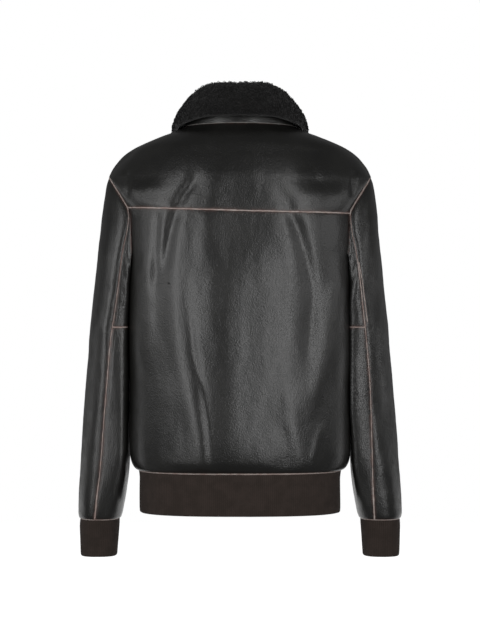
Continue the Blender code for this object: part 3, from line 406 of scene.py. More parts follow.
# folds and creases, raised from the panels' smooth grids;
# each fold: (height, place across) points down it, its half width to the left and to the
# right seen from outside, and its height, less than zero for a trough
backFolds = [
    ([(-160, 12), (-300, 23), (-360, 28), (-440, 30), (-560, 28), (-660, 24)], 74, 60, 9.5),
    ([(-60, 71), (-92, 78), (-125, 98), (-173, 114), (-225, 123), (-280, 128)], 9, 12, -4.2),
    ([(-125, 132), (-160, 137), (-200, 139), (-245, 139), (-300, 140)], 8, 8, -2.6),
    ([(-190, 104), (-253, 106), (-307, 106), (-384, 96), (-455, 78), (-524, 64),
      (-577, 60), (-650, 56)], 18, 15, 2.2),
    ([(-400, 90), (-520, 68), (-660, 60)], 46, 20, 3.6),
    ([(-270, 92), (-313, 83), (-382, 75), (-455, 56), (-560, 46), (-640, 44)], 6, 7, -1.4),
    ([(-190, 156), (-250, 152), (-300, 150), (-380, 150)], 12, 12, 2.4),
    ([(-50, 34), (-120, 46), (-170, 52), (-250, 56)], 20, 26, 2.4),
    ([(-175, -40), (-250, -46), (-300, -50), (-400, -50), (-490, -30)], 22, 26, 0.9),
    ([(-84, -58), (-138, -80), (-182, -98), (-238, -112), (-290, -118), (-360, -114),
      (-430, -106)], 13, 12, -4),
    ([(-210, -164), (-303, -152), (-372, -142), (-441, -126), (-500, -108)], 15, 15, 3.4),
    ([(-20, 168), (-112, 158)], 60, 32, -6),
    ([(-20, -135), (-122, -128)], 34, 60, -6.5),
    ([(-420, -100), (-495, -84), (-560, -76)], 26, 20, 1.8),
    ([(-480, -70), (-540, -76), (-610, -80)], 18, 16, -2),
    ([(-490, -136), (-520, -128), (-565, -116)], 6, 6, 1),
    ([(-66, 191), (-128, 187)], 5, 5, -3),
    ([(-66, -191), (-128, -187)], 5, 5, -3),
    ([(-210, 168), (-430, 166)], 20, 20, 5.5),
    ([(-210, -168), (-450, -166)], 20, 20, 5.5),
]
frontFolds = [
    ([(-170, 120), (-480, 86)], 24, 24, 4),
    ([(-190, 150), (-430, 132)], 16, 16, -4),
    ([(-220, 60), (-560, 54)], 22, 22, -3.4),
    ([(-180, -112), (-500, -92)], 24, 24, 4),
    ([(-170, -150), (-400, -128)], 16, 16, -4),
    ([(-240, -58), (-540, -62)], 22, 22, -3.2),
]
surfaceForm = {
    "calmEnds": 24.0,           # folds die out this near a panel's top and bottom
    "calmSides": 32.0,          # and this near its sides
    "creaseSize": 34.0,
    "creaseStretch": (1.0, 1.0, 0.45),
    "fineSize": 11.0,
    "fineShare": 0.22,
    "edgeReach": 2.6,           # how far the edge rolls in to its seam
    "stitchLine": 5.2,          # how far in the row of stitches lies
    "stitchReach": 1.3,
    "stitchDepth": 0.35,
    "besideSleeve": 0.15,       # what is left of both where the side seams lie flat
    "acrossYokeSeam": 0.55,     # what is left of a fold where the yoke seam holds it
    "calmSeam": 12.0,
    "calmFine": 6.0,
    "scuffReach": 2.8,
    "ledgeReach": 20.0,         # the bend across the shoulder blades
    "ledgeSides": 30.0,
    "ledgeSteps": 40,
    "foldEnds": (4, 3),         # one over the share of a fold's length in which it starts and ends
}


def normalsOf(grid):
    # outward normals of a grid whose columns run left to right seen from outside
    return unit(np.cross(np.gradient(grid, axis=0), np.gradient(grid, axis=1)))


def edgeDistances(grid):
    # distance of each point from the top, the bottom, the left and the right edge
    down = np.linalg.norm(np.diff(grid, axis=0), axis=2)
    across = np.linalg.norm(np.diff(grid, axis=1), axis=2)
    top = np.concatenate([np.zeros((1, grid.shape[1])), np.cumsum(down, axis=0)])
    left = np.concatenate([np.zeros((grid.shape[0], 1)), np.cumsum(across, axis=1)], axis=1)
    return top, top[-1:] - top, left, left[:, -1:] - left


def foldRise(x, z, folds):
    total = np.zeros_like(x)
    start, end = surfaceForm["foldEnds"]
    for line, leftReach, rightReach, height in folds:
        high, low = line[0][0], line[-1][0]
        share = (high - z) / (high - low)
        fade = ease(share * start) * ease((1 - share) * end)
        off = x - smoothCurve(line)(z)
        reach = np.where(off > 0, leftReach, rightReach)
        total += height * fade * np.exp(-(off / reach) ** 2)
    return total


def ripple(points, size, seed):
    # gentle noise at the given size, one value a point
    flat = points.reshape(-1, 3) / size + seed
    values = [noise.fractal(Vector(p), 1.0, 2.0, 2) for p in flat]
    return np.array(values).reshape(points.shape[:-1])


def softLedge(grid, sides):
    # smooth the bend across the shoulder blades, away from the armholes
    form = surfaceForm
    for _ in range(form["ledgeSteps"]):
        inner = grid[1:-1]
        above = (inner[..., 2] - armhole["top"]) / form["ledgeReach"]
        share = np.exp(-above ** 2) * ease(sides[1:-1] / form["ledgeSides"])
        middle = (grid[:-2] + grid[2:]) / 2
        inner = inner + (middle - inner) * 0.5 * share[..., None]
        grid = np.concatenate([grid[:1], inner, grid[-1:]])
    return grid


def foldedGrid(grid, creases, seed, folds=(), seamRow=None):
    # raise a panel's folds, roll its edges in and crinkle it
    form = surfaceForm
    top, bottom, left, right = edgeDistances(grid)
    ends = np.minimum(top, bottom)
    sides = np.minimum(left, right)
    if folds is backFolds:
        grid = softLedge(grid, sides)
    normal = normalsOf(grid)
    nearest = np.minimum(ends, sides)
    rise = foldRise(grid[..., 0], grid[..., 2], folds)
    rise = rise * ease(ends / form["calmEnds"]) * ease(sides / form["calmSides"])
    if seamRow is not None:
        seam = np.abs(top - top[seamRow])
        held = form["acrossYokeSeam"]
        rise *= held + (1 - held) * ease(seam / form["calmSeam"])
        nearest = np.minimum(nearest, seam)
    wide = ripple(grid * np.array(form["creaseStretch"]), form["creaseSize"], seed)
    fine = ripple(grid, form["fineSize"], seed + 7)
    rise += creases * wide * ease(nearest / form["calmSeam"])
    rise += creases * form["fineShare"] * fine * ease(nearest / form["calmFine"])
    beside = (sides < ends) & (grid[..., 2] < armhole["bottom"]) & bool(folds)
    turned = np.where(beside, form["besideSleeve"], 1.0)
    rise -= turned * np.exp(-(nearest / form["edgeReach"]) ** 2)
    stitches = np.exp(-((nearest - form["stitchLine"]) / form["stitchReach"]) ** 2)
    rise -= turned * form["stitchDepth"] * stitches
    return grid + normal * rise[..., None], normal, nearest


# grids of points made into meshes
def newPiece(data, body, cadNodes=()):
    # an object of the mesh's own name
    piece = bpy.data.objects.new(data.name, data)
    bpy.context.scene.collection.objects.link(piece)
    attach(piece, body)
    if cadNodes:
        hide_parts(*cadNodes)


def gridFaces(rowCount, columnCount, wrap=False):
    columns = np.arange(columnCount if wrap else columnCount - 1)
    i, j = np.meshgrid(np.arange(rowCount - 1), columns, indexing="ij")
    a, b = i * columnCount, (j + 1) % columnCount
    corners = [a + j, a + columnCount + j, a + columnCount + b, a + b]
    return np.stack(corners, axis=-1).reshape(-1, 4)


def meshOf(name, points, faces, materials, wearAndGrooveShade=None, sharp=60):
    # a number a point that the materials read: wear near the seams, and on the rib knit painted
    # shade in the grooves between the ribs
    data = bpy.data.meshes.new(name)
    data.from_pydata((np.asarray(points) * mm).tolist(), [], faces)
    for material in materials:
        data.materials.append(material)
    if wearAndGrooveShade is not None:
        layer = data.attributes.new("seam", "FLOAT", "POINT")
        layer.data.foreach_set("value", np.asarray(wearAndGrooveShade, np.float32))
    data.shade_smooth()
    data.set_sharp_from_angle(angle=math.radians(sharp))
    return data


def shellMesh(name, outside, inside, materials, wrap=False, wearAndGrooveShade=None):
    # a closed wall between two grids; inner faces take the second material
    rowCount, columnCount = outside.shape[:2]
    count = rowCount * columnCount
    outerFaces = gridFaces(rowCount, columnCount, wrap)
    innerFaces = outerFaces[:, ::-1] + count
    rim = []
    last = count - columnCount
    for j in range(columnCount if wrap else columnCount - 1):
        k = (j + 1) % columnCount
        rim.append((j, k, count + k, count + j))
        rim.append((last + k, last + j, count + last + j, count + last + k))
    if not wrap:
        for a in range(0, last, columnCount):
            b = a + columnCount
            rim.append((b, a, count + a, count + b))
            a, b = b - 1, b + columnCount - 1
            rim.append((a, b, count + b, count + a))
    faces = np.concatenate([outerFaces, innerFaces, np.array(rim)])
    points = np.concatenate([outside.reshape(-1, 3), inside.reshape(-1, 3)])
    if wearAndGrooveShade is not None:
        wearAndGrooveShade = np.concatenate([wearAndGrooveShade.reshape(-1), np.zeros(count)])
    data = meshOf(name, points, faces.tolist(), materials, wearAndGrooveShade, 55)
    if len(materials) > 1:
        slots = np.zeros(len(faces), np.int32)
        slots[len(outerFaces):len(outerFaces) + len(innerFaces)] = 1
        data.polygons.foreach_set("material_index", slots)
    data.validate()
    return data


# shader maths: a socket takes part in Python sums
class wire:
    # a socket that adds Math nodes when it is used in a sum
    def __init__(self, board, socket):
        self.board, self.socket = board, socket

    def maths(self, operation, second=0.0):
        return self.board.node("ShaderNodeMath", {"operation": operation}, {0: self, 1: second})

    def __add__(self, other):
        return self.maths("ADD", other)

    def __sub__(self, other):
        return self.maths("SUBTRACT", other)

    def __rsub__(self, other):
        return self * -1.0 + other

    def __mul__(self, other):
        return self.maths("MULTIPLY", other)

    __radd__ = __add__
    __rmul__ = __mul__

    def least(self, other):
        return self.maths("MINIMUM", other)

    def sine(self):
        return self.maths("SINE")

    def between(self, low, high):
        # 0 below low, 1 above high, smooth between them
        settings = {"interpolation_type": "SMOOTHSTEP"}
        inputs = {0: self, 1: low, 2: high, 3: 0.0, 4: 1.0}
        return self.board.node("ShaderNodeMapRange", settings, inputs)


class board:
    # one material's nodes
    def __init__(self, name):
        self.material = bpy.data.materials.new(name)
        self.material.use_nodes = True
        self.tree = self.material.node_tree
        self.shader = self.tree.nodes["Principled BSDF"]
        self.place = self.node("ShaderNodeTexCoord", {}, {}, "Object")

    def node(self, kind, settings, inputs, output=0):
        made = self.tree.nodes.new(kind)
        for key, value in settings.items():
            setattr(made, key, value)
        for key, value in inputs.items():
            self.put(made.inputs[key], value)
        return wire(self, made.outputs[output])

    def put(self, socket, value):
        if isinstance(value, wire):
            self.tree.links.new(value.socket, socket)
        elif isinstance(value, tuple) and len(value) == 3 and socket.type == "RGBA":
            socket.default_value = (*value, 1.0)
        else:
            socket.default_value = value

    def mix(self, share, first, second):
        settings = {"data_type": "RGBA"}
        return self.node("ShaderNodeMix", settings, {0: share, 6: first, 7: second}, 2)

    def cloud(self, scale, detail=2.0, roughness=0.5, vector=None, output=0):
        inputs = {"Vector": vector or self.place, "Scale": scale, "Detail": detail,
                  "Roughness": roughness}
        return self.node("ShaderNodeTexNoise", {}, inputs, output)

    def cells(self, scale, feature="SMOOTH_F1", vector=None):
        inputs = {"Vector": vector or self.place, "Scale": scale}
        return self.node("ShaderNodeTexVoronoi", {"feature": feature}, inputs, "Distance")

    def vectorMaths(self, operation, *inputs):
        settings = {"operation": operation}
        return self.node("ShaderNodeVectorMath", settings, dict(enumerate(inputs)))

    def waves(self, length):
        # a sine up the piece, one wave to each length in metres
        height = self.node("ShaderNodeSeparateXYZ", {}, {0: self.place}, 2)
        return (height * (2 * math.pi / length)).sine()

    def mark(self):
        return self.node("ShaderNodeAttribute", {"attribute_name": "seam"}, {}, "Fac")

    def bump(self, height, distance):
        return self.node("ShaderNodeBump", {}, {"Height": height, "Distance": distance})

    def finish(self, **sockets):
        for name, value in sockets.items():
            self.put(self.shader.inputs[name.replace("_", " ")], value)
        return self.material


leatherLook = {
    "dark": (0.0072, 0.0071, 0.0066),
    "light": (0.0115, 0.0113, 0.0104),
    "worn": (0.085, 0.038, 0.028),
    "scuffShare": 0.7,
    "roughness": 0.31,
    "specular": 0.55,
    "pebble": 480.0,            # cells a metre
    "pebbleDepth": 0.00026,
    "creases": 270.0,
    "warp": 0.0012,             # how far the cells' lines wander
}


def makeLeather():
    b = board("wornBlackLeather")
    look = leatherLook
    drift = b.cloud(90.0, 3.0)
    wander = b.cloud(300.0, 2.0, output="Color")
    warped = b.vectorMaths("MULTIPLY_ADD", wander, (look["warp"],) * 3, b.place)
    pebble = b.cells(look["pebble"], vector=warped)
    creases = b.cells(look["creases"], "DISTANCE_TO_EDGE", warped).between(0.0, 0.14)
    fine = b.cloud(2600.0, 3.0)
    blotch = b.cloud(14.0, 4.0)
    scuff = (b.mark() * b.cloud(120.0, 4.0, 0.65).between(0.35, 0.62)).least(1.0)
    colour = b.mix(blotch.between(0.35, 0.7), look["dark"], look["light"])
    colour = b.mix(scuff * look["scuffShare"], colour, look["worn"])
    height = pebble * -0.9 + fine * 0.12 + creases * 0.24 + drift * 0.8
    roughness = blotch * 0.10 + scuff * 0.15 + (look["roughness"] - 0.05)
    return b.finish(Base_Color=colour, Roughness=roughness, Specular_IOR_Level=look["specular"],
                    Normal=b.bump(height, look["pebbleDepth"]))


def makeLining():
    b = board("blackLining")
    twill = b.node("ShaderNodeTexWave", {"bands_direction": "DIAGONAL"},
                   {"Vector": b.place, "Scale": 420.0, "Distortion": 0.4})
    shade = b.mix(b.cloud(20.0, 3.0), (0.010, 0.010, 0.011), (0.018, 0.018, 0.020))
    return b.finish(Base_Color=shade, Roughness=0.55, Normal=b.bump(twill, 0.00008))


leather = makeLeather()
lining = makeLining()
print("leather and lining ready")


# the leather panels
def leatherShell(name, node, outside, normal, nearest):
    inside = outside - normal * bodyForm["wall"]
    wearAndGrooveShade = np.exp(-(nearest / surfaceForm["scuffReach"]) ** 2)
    data = shellMesh(name, outside, inside, [leather, lining], wearAndGrooveShade=wearAndGrooveShade)
    newPiece(data, "garment", [node])
    return outside


wholeBack = foldedGrid(backGrid(), 0.55, 2.0, backFolds, yokeRow)
yokeGrid = leatherShell("yokeShell", "back_yoke", *[part[:yokeRow + 1] for part in wholeBack])
backPanelGrid = leatherShell("backShell", "back_panel", *[part[yokeRow:] for part in wholeBack])
frontGrids = {}
for side, word in bothSides:
    folded = foldedGrid(frontGrid(side), 0.9, 3.0 + side, frontFolds)
    frontGrids[side] = leatherShell(word + "FrontShell", "front_" + word, *folded)

fullness = {
    "place": 0.26,              # of the panel's width, from the back seam
    "reach": 0.16,
    "swell": {1: 16.0, -1: 13.0},
    "cornerReach": 0.11,
    "flatReach": 0.2,
    "towardsBody": {1: 5.0, -1: 6.5},
    "clear": 2.4,
    "heights": [(-135, 0), (-215, 1), (-540, 1), (-655, 0)],
}


def filledUnderarm(grid, side):
    # the hidden corner of a sleeve's under panel swells out behind and lies against the body
    share = np.linspace(0.0, 1.0, grid.shape[1])
    share = share if side > 0 else 1 - share
    fade = smoothCurve(fullness["heights"])(grid[..., 2])

    def hump(place, reach):
        return np.exp(-((share - place) / fullness[reach]) ** 2)

    fuller = grid.copy()
    fuller[..., 1] += fullness["swell"][side] * hump(fullness["place"], "reach") * fade
    wide = side * grid[..., 0]
    closest = bodyHalfWidth(fuller[..., 1], grid[..., 2]) + fullness["clear"]
    inward = fullness["towardsBody"][side] * hump(fullness["place"], "cornerReach")
    inward = (inward + hump(0.5, "flatReach")) * fade
    fuller[..., 0] = side * np.maximum(wide - inward, np.minimum(wide, closest))
    return fuller


sleevePanels = {}
for side, word in bothSides:
    outer, under = sleeveGrids(side)
    under = filledUnderarm(under, side)
    sleevePanels[side] = {}
    for name, node, grid, creases, seed in (
            ("SleeveShell", "sleeve_outer_", outer, 1.1, 6.0),
            ("UnderarmShell", "sleeve_under_upper_", under[:elbowRow + 1], 0.7, 9.0),
            ("ForearmShell", "sleeve_under_lower_", under[elbowRow:], 0.7, 12.0)):
        folded = foldedGrid(grid, creases, seed + side)
        sleevePanels[side][name] = leatherShell(word + name, node + word, *folded)
print("leather panels done")

# rubbed raw edges along the seams, and the piping at the neck
stripForm = {
    # place across as a share of half the width, height as a share, wear mark
    "profile": [(-1.0, -0.6, 1.0), (-0.62, 0.55, 0.75), (-0.35, 1.0, 0.1), (0.35, 1.0, 0.1),
                (0.62, 0.55, 0.75), (1.0, -0.6, 1.0)],
    "step": 2.2,
    "wobble": 0.35,
    "wobbleSize": 9.0,
    "widthChange": 0.28,
    "changeSize": 13.0,
}
strips = []                     # line, outward directions, half width, height


def addStrip(edge, halfWidth, height):
    strips.append((*edge, halfWidth, height))


def stripArrays(line, normal, halfWidth, height, seed):
    # a strip's points, ring by ring, and their wear marks
    form = stripForm
    count = max(4, round(lengthsAlong(line)[-1] / form["step"]))
    joined = evenly(line, count)
    spots = np.linspace(0, len(line) - 1, count + 1)
    facing = unit(sampled(normal, np.arange(len(line)), spots))
    across = unit(np.cross(facing, unit(np.gradient(joined, axis=0))))
    drift = np.array([noise.fractal(Vector(p) / form["wobbleSize"] + Vector((seed, 0, 0)),
                                    1.0, 2.0, 2) for p in joined])
    joined = joined + across * (drift * form["wobble"])[:, None]
    change = np.array([noise.noise(Vector(p) / form["changeSize"] + Vector((0, seed, 0)))
                       for p in joined])
    width = (halfWidth * (1 + form["widthChange"] * change))[:, None]
    rings = [joined + across * (width * a) + facing * height * h for a, h, _ in form["profile"]]
    marks = [np.full(count + 1, mark) for _, _, mark in form["profile"]]
    return np.stack(rings, axis=1), np.stack(marks, axis=1)


def tubeFaces(count, around, first):
    # faces of a closed tube with flat ends
    i, j = np.meshgrid(np.arange(count - 1), np.arange(around), indexing="ij")
    k = (j + 1) % around
    near, far = i * around, (i + 1) * around
    quads = np.stack([near + j, near + k, far + k, far + j], axis=-1)
    faces = (quads.reshape(-1, 4) + first).tolist()
    faces.append([first + j for j in reversed(range(around))])
    faces.append([first + (count - 1) * around + j for j in range(around)])
    return faces


def gridEdge(grid, which):
    # an edge of a panel with its outward directions
    everywhere = slice(None)
    pick = {"top": (0, everywhere), "bottom": (-1, everywhere),
            "left": (everywhere, 0), "right": (everywhere, -1)}[which]
    return grid[pick], normalsOf(grid)[pick]


def inset(grid, reach, high, low):
    # a line that runs a little way in from a panel's left seam, between two heights
    spot = np.clip(reach / np.linalg.norm(grid[:, 1] - grid[:, 0], axis=1), 0, 3.99)
    left = spot.astype(int)
    index = np.arange(len(grid))
    line = grid[index, left]
    line = line + (grid[index, left + 1] - line) * (spot - left)[:, None]
    kept = (line[:, 2] < high) & (line[:, 2] > low)
    return line[kept], normalsOf(grid)[index, left][kept]


def levelEdge(grid):
    # a panel's lower edge, facing straight out
    line, normal = gridEdge(grid, "bottom")
    return line, unit(normal * np.array([1.0, 1.0, 0.25]))


above, below = gridEdge(yokeGrid, "bottom"), gridEdge(backPanelGrid, "top")
addStrip(((above[0] + below[0]) / 2, unit(above[1] + below[1])), 1.9, 0.8)
neckEdges = []
for side, word in bothSides:
    outer, upper, lower = sleevePanels[side].values()
    rear, fore = ("right", "left") if side > 0 else ("left", "right")
    addStrip(gridEdge(outer, "top"), 2.4, 0.8)
    addStrip(gridEdge(outer, rear), 2.3, 0.8)
    addStrip(gridEdge(outer, fore), 1.7, 0.7)
    addStrip(gridEdge(upper, "bottom"), 1.8, 0.8)
    addStrip(levelEdge(outer), 1.8, 0.7)
    addStrip(levelEdge(lower), 1.8, 0.7)
    addStrip(levelEdge(frontGrids[side]), 2.9, 1.2)
    neckEdges.append(gridEdge(frontGrids[side], "top"))
    line, facing = gridEdge(backPanelGrid, "left" if side > 0 else "right")
    addStrip((line[underarmRow - yokeRow:], facing[underarmRow - yokeRow:]), 0.9, 0.4)
addStrip(inset(sleevePanels[-1]["SleeveShell"], 6.0, -225, -330), 1.0, 0.4)
addStrip(levelEdge(backPanelGrid), 2.9, 1.2)
neckEdges.append(gridEdge(yokeGrid, "top"))


def makeRawEdge():
    b = board("rawSkinEdge")
    patch = b.cloud(230.0, 4.0, 0.6)
    stretch = b.cloud(34.0, 3.0, 0.6)
    shade = (b.mark() + (patch - 0.5) * 0.9 + (stretch - 0.42) * 0.9).between(0.2, 0.8)
    tan = b.mix(b.cloud(80.0).between(0.3, 0.7), (0.27, 0.200, 0.180), (0.38, 0.330, 0.305))
    colour = b.mix(shade, tan, (0.052, 0.026, 0.020))
    return b.finish(Base_Color=colour, Roughness=0.7, Normal=b.bump(patch, 0.0003))


def makePiping():
    b = board("rubbedPiping")
    rubbed = b.cloud(160.0, 3.0).between(0.3, 0.7)
    colour = b.mix(rubbed, (0.075, 0.071, 0.066), (0.16, 0.152, 0.144))
    return b.finish(Base_Color=colour, Roughness=0.42, Normal=b.bump(b.cloud(900.0), 0.0001))


def buildStrips(name, lines, material):
    points, faces, marks = [], [], []
    for number, strip in enumerate(lines):
        rings, wearAndGrooveShade = stripArrays(*strip, number * 3.7)
        faces += tubeFaces(*rings.shape[:2], sum(len(part) for part in points))
        points.append(rings.reshape(-1, 3))
        marks.append(wearAndGrooveShade.reshape(-1))
    data = meshOf(name, np.concatenate(points), faces, [material], np.concatenate(marks))
    newPiece(data, "garment")


buildStrips("seamEdges", strips, makeRawEdge())
buildStrips("neckPiping", [(*edge, 1.15, 1.1) for edge in neckEdges], makePiping())
print("seam edges:", len(strips))

# the collar: leather below, fleece above, and curls on it
collarForm = {
    # share of the way round, roll out and up, reach, lift, belly
    "stations": [
        (0.00, -1, 55, 1, 24.5, 1.5),
        (0.17, -2, 57, 3, 20, 1.5),
        (0.25, -3.5, 54, 5, 15, 1.5),
        (0.34, -6.5, 47, 8, 10, 2),
        (0.47, -9.5, 36, 12.5, 4.8, 3),
        (0.62, -9, 30, 28, 4, 4.5),
        (0.80, -7, 26, 52, 4, 6),
        (1.00, -4, 22, 70, 4, 6),
    ],
    "seamGap": 0.5,
    "end": 0.925,               # how far round from the centre back
    "rollRadius": 5.0,
    "halfColumns": 170,
    "rows": 64,
    "neckSamples": 800,
    "trimFrom": 30.0,           # height over which the roll narrows and rises
    "trimOver": 32.0,
    "narrower": 0.083,
    "higher": 2.0,
    "higherReach": 60.0,        # how far from the centre back it is higher
    "leather": 1.6,
    "fleece": (0.4, 6.9),       # near and far face of the fleece, from the collar's middle
    "overhang": 3.0,
    "edgeRounding": 9.0,
    "endRounding": 8.0,
    "leastPile": 0.8,
    "columnWidth": 1.7,         # about how wide the fleece's columns are
    "lump": 2.2,
    "lumpSize": 6.4,
    "lumpLevel": 0.25,          # where a lump's height starts to rise above the pile
    "smallLumps": (0.5, 0.55),  # a second set's height and size, as shares of the first
    "wrinkle": (0.3, 22.0),     # how deep the leather's inside is wrinkled, and how wide
}
curlForm = {
    "count": 6000,
    "turns": 6,                 # points along a curl
    "around": 3,                # points around it
    "reach": 0.62,              # share of the fleece that curls stand on
    "radius": (1.0, 1.9),
    "from": -50.0,              # degrees round its loop
    "to": (200.0, 280.0),
    "sink": (-0.5, 0.5),
    "lean": 0.7,                # half of the way that it twists sideways
    "thick": 0.5,
}
collarCurves = [smoothCurve([(station[0], station[i]) for station in collarForm["stations"]])
                for i in range(1, 6)]


def neckLoops(side):
    # rows between the neck seam and the shoulder points, back to front, at even shares
    loops = []
    for row in range(topRow + 1):
        behind = section(row, side, False, 120)
        before = section(row, side, True, 120)[::-1]
        whole = np.concatenate([behind, before[1:]])
        loops.append(evenly(whole, collarForm["neckSamples"]))
    return np.array(loops)


def along(points, reach):
    # the place that lies reach millimetres along a line
    return sampled(points, lengthsAlong(points), reach)


def splinePoints(keys, knots):
    keys = np.array(keys)
    padded = np.concatenate([[2 * keys[0] - keys[1]], keys, [2 * keys[-1] - keys[-2]]])
    k = np.minimum(knots.astype(int), len(keys) - 2)
    t = (knots - k)[:, None]
    a, b, c, d = padded[k], padded[k + 1], padded[k + 2], padded[k + 3]
    square, cube = 2 * a - 5 * b + 4 * c - d, 3 * b - a - 3 * c + d
    return 0.5 * (2 * b + (c - a) * t + square * t ** 2 + cube * t ** 3)


def collarProfile(loops, side, share):
    # the collar's middle surface at one place: seam, roll, and the fall's edge
    samples = collarForm["neckSamples"]

    def body(s):
        low = min(int(s * samples), samples - 1)
        return loops[:, low] + (loops[:, low + 1] - loops[:, low]) * (s * samples - low)

    place = share / collarForm["end"]
    rollOut, rollUp, reach, lift, belly = [curve(place) for curve in collarCurves]
    here = body(share)
    ahead = body(min(share + 0.01, 1.0))[0] - body(max(share - 0.01, 0.0))[0]
    out = unit(np.array([ahead[1], -ahead[0], 0.0]) * -side)
    down = unit(along(here, reach + 6) - along(here, max(reach - 6, 0.0)))
    off = unit(np.cross(down, np.array([out[1], -out[0], 0.0]) * side))
    edge = along(here, reach) + (off if off[2] > 0 else -off) * lift
    radius = collarForm["rollRadius"]

    def at(r, z):
        return here[0] + out * r + np.array([0.0, 0.0, z])

    start = at(rollOut + radius, rollUp - radius)
    fall = edge - start
    size = np.linalg.norm(fall)
    bulge = unit(out * size - fall * (fall @ out / size))
    keys = [at(0.0, collarForm["seamGap"]), at(rollOut * 0.5 - 1.0, rollUp * 0.45),
            at(rollOut - radius, rollUp - radius * 1.2), at(rollOut, rollUp), start,
            start + fall * 0.5 + bulge * belly, edge]
    return evenly(splinePoints(keys, np.linspace(0.0, 6.0, 241)), collarForm["rows"])


def collarGrid():
    # the roll is a little narrower at its sides and higher behind
    loops = {side: neckLoops(side) for side in (1, -1)}
    half = collarForm["halfColumns"]
    columns = []
    for k in range(-half, half + 1):
        side = 1 if k >= 0 else -1
        columns.append(collarProfile(loops[side], side, collarForm["end"] * abs(k) / half))
    grid = np.array(columns)
    high = ease((grid[..., 2] - collarForm["trimFrom"]) / collarForm["trimOver"])
    behind = np.exp(-(grid[..., 0] / collarForm["higherReach"]) ** 2)
    grid[..., 2] += collarForm["higher"] * high * behind
    grid[..., 0] *= 1 - collarForm["narrower"] * high
    return grid


def makeFleece():
    b = board("curlyBlackFleece")
    tuft = b.cells(520.0)
    fuzz = b.cloud(2400.0, 4.0, 0.7)
    dark, light = (0.0038, 0.0036, 0.0036), (0.0085, 0.0082, 0.0081)
    # colour follows the tufts' bump: painted shade darkens the pits between the tufts, and their
    # raised tops are painted lighter
    shade = b.mix(tuft.between(0.1, 0.75), light, dark)
    height = tuft * -1.0 + b.cells(1150.0) * -0.5 + fuzz * 0.35
    return b.finish(Base_Color=shade, Roughness=0.95, Specular_IOR_Level=0.15, Sheen_Weight=0.12,
                    Sheen_Roughness=0.5, Normal=b.bump(height, 0.0016))


def lumps(points, size, seed):
    flat = points.reshape(-1, 3) / size + seed
    values = [1 - min(noise.voronoi(Vector(p))[0][0], 1.0) ** 2 for p in flat]
    return np.array(values).reshape(points.shape[:-1])


def fleeceCurls(surface, normal, material):
    # small loops of wool standing out of the pile
    rng = np.random.default_rng(11)
    columns, rowsAlong = surface.shape[:2]
    form = curlForm
    turns, around = form["turns"], form["around"]
    taper = np.sin(np.linspace(0.35, math.pi - 0.35, turns))[:, None] ** 0.5
    points, faces = [], []
    for n in range(form["count"]):
        i = rng.integers(1, columns - 1)
        j = int(rowsAlong * (1 - rng.random() * form["reach"])) - 1
        out = normal[i, j]
        side = unit(np.cross(out, rng.normal(size=3)))
        lean = np.cross(out, side)
        radius = rng.uniform(*form["radius"])
        turn = np.radians(np.linspace(form["from"], rng.uniform(*form["to"]), turns))
        middle = surface[i, j] + out * rng.uniform(*form["sink"])
        path = (middle + np.outer(np.sin(turn) * radius, out)
                + np.outer(np.cos(turn) * radius, side)
                + np.outer(np.linspace(-form["lean"], form["lean"], turns), lean))
        flank = unit(np.cross(unit(np.gradient(path, axis=0)), lean))
        rings = [path + (flank * math.cos(a) + lean * math.sin(a)) * form["thick"] * taper
                 for a in np.arange(around) * 2 * math.pi / around]
        faces += tubeFaces(turns, around, n * turns * around)
        points.append(np.stack(rings, axis=1).reshape(-1, 3))
    data = meshOf("fleeceCurls", np.concatenate(points), faces, [material], None, 80)
    newPiece(data, "garment")


def everyOther(count):
    return np.unique(np.append(np.arange(0, count, 2), count - 1))


def rounded(distance, reach):
    # rises from 0 at an edge to 1 at reach from it, as a quarter circle does
    return np.sqrt(1 - (1 - np.minimum(distance + 0.6, reach) / reach) ** 2)


def buildCollar():
    form = collarForm
    grid = collarGrid()
    normal = normalsOf(grid)
    deep, wide = form["wrinkle"]
    near = grid - normal * (form["leather"] + deep * ripple(grid, wide, 31.0))[..., None]
    kept = np.ix_(everyOther(grid.shape[0]), everyOther(grid.shape[1]))
    data = shellMesh("collarLeatherShell", grid[kept], near[kept], [leather])
    newPiece(data, "garment", ["collar_leather"])
    tail = unit(grid[:, -1] - grid[:, -2])[:, None] * form["overhang"]
    longer = np.concatenate([grid, grid[:, -1:] + tail / 2, grid[:, -1:] + tail], axis=1)
    more = np.concatenate([normal, normal[:, -1:], normal[:, -1:]], axis=1)
    gap, pile = form["fleece"]
    steps = np.linalg.norm(np.diff(longer, axis=1), axis=2).mean(axis=0)
    lengths = np.concatenate([[0.0], np.cumsum(steps)])
    number = np.arange(len(longer))
    fromEnd = np.minimum(number, number[::-1]) * form["columnWidth"]
    rounding = (rounded(lengths[-1] - lengths, form["edgeRounding"])[None, :]
                * rounded(fromEnd, form["endRounding"])[:, None])
    share, smaller = form["smallLumps"]
    curly = (lumps(longer, form["lumpSize"], 3.0)
             + share * lumps(longer, form["lumpSize"] * smaller, 9.0))
    least = gap + form["leastPile"]
    rise = form["lump"] * (curly - form["lumpLevel"])
    far = least + (pile - least + rise) * rounding
    surface = longer + more * far[..., None]
    fleece = makeFleece()
    data = shellMesh("collarFleeceShell", surface, longer + more * gap, [fleece])
    newPiece(data, "garment", ["collar_fleece"])
    fleeceCurls(surface, more, fleece)


buildCollar()
print("collar done")

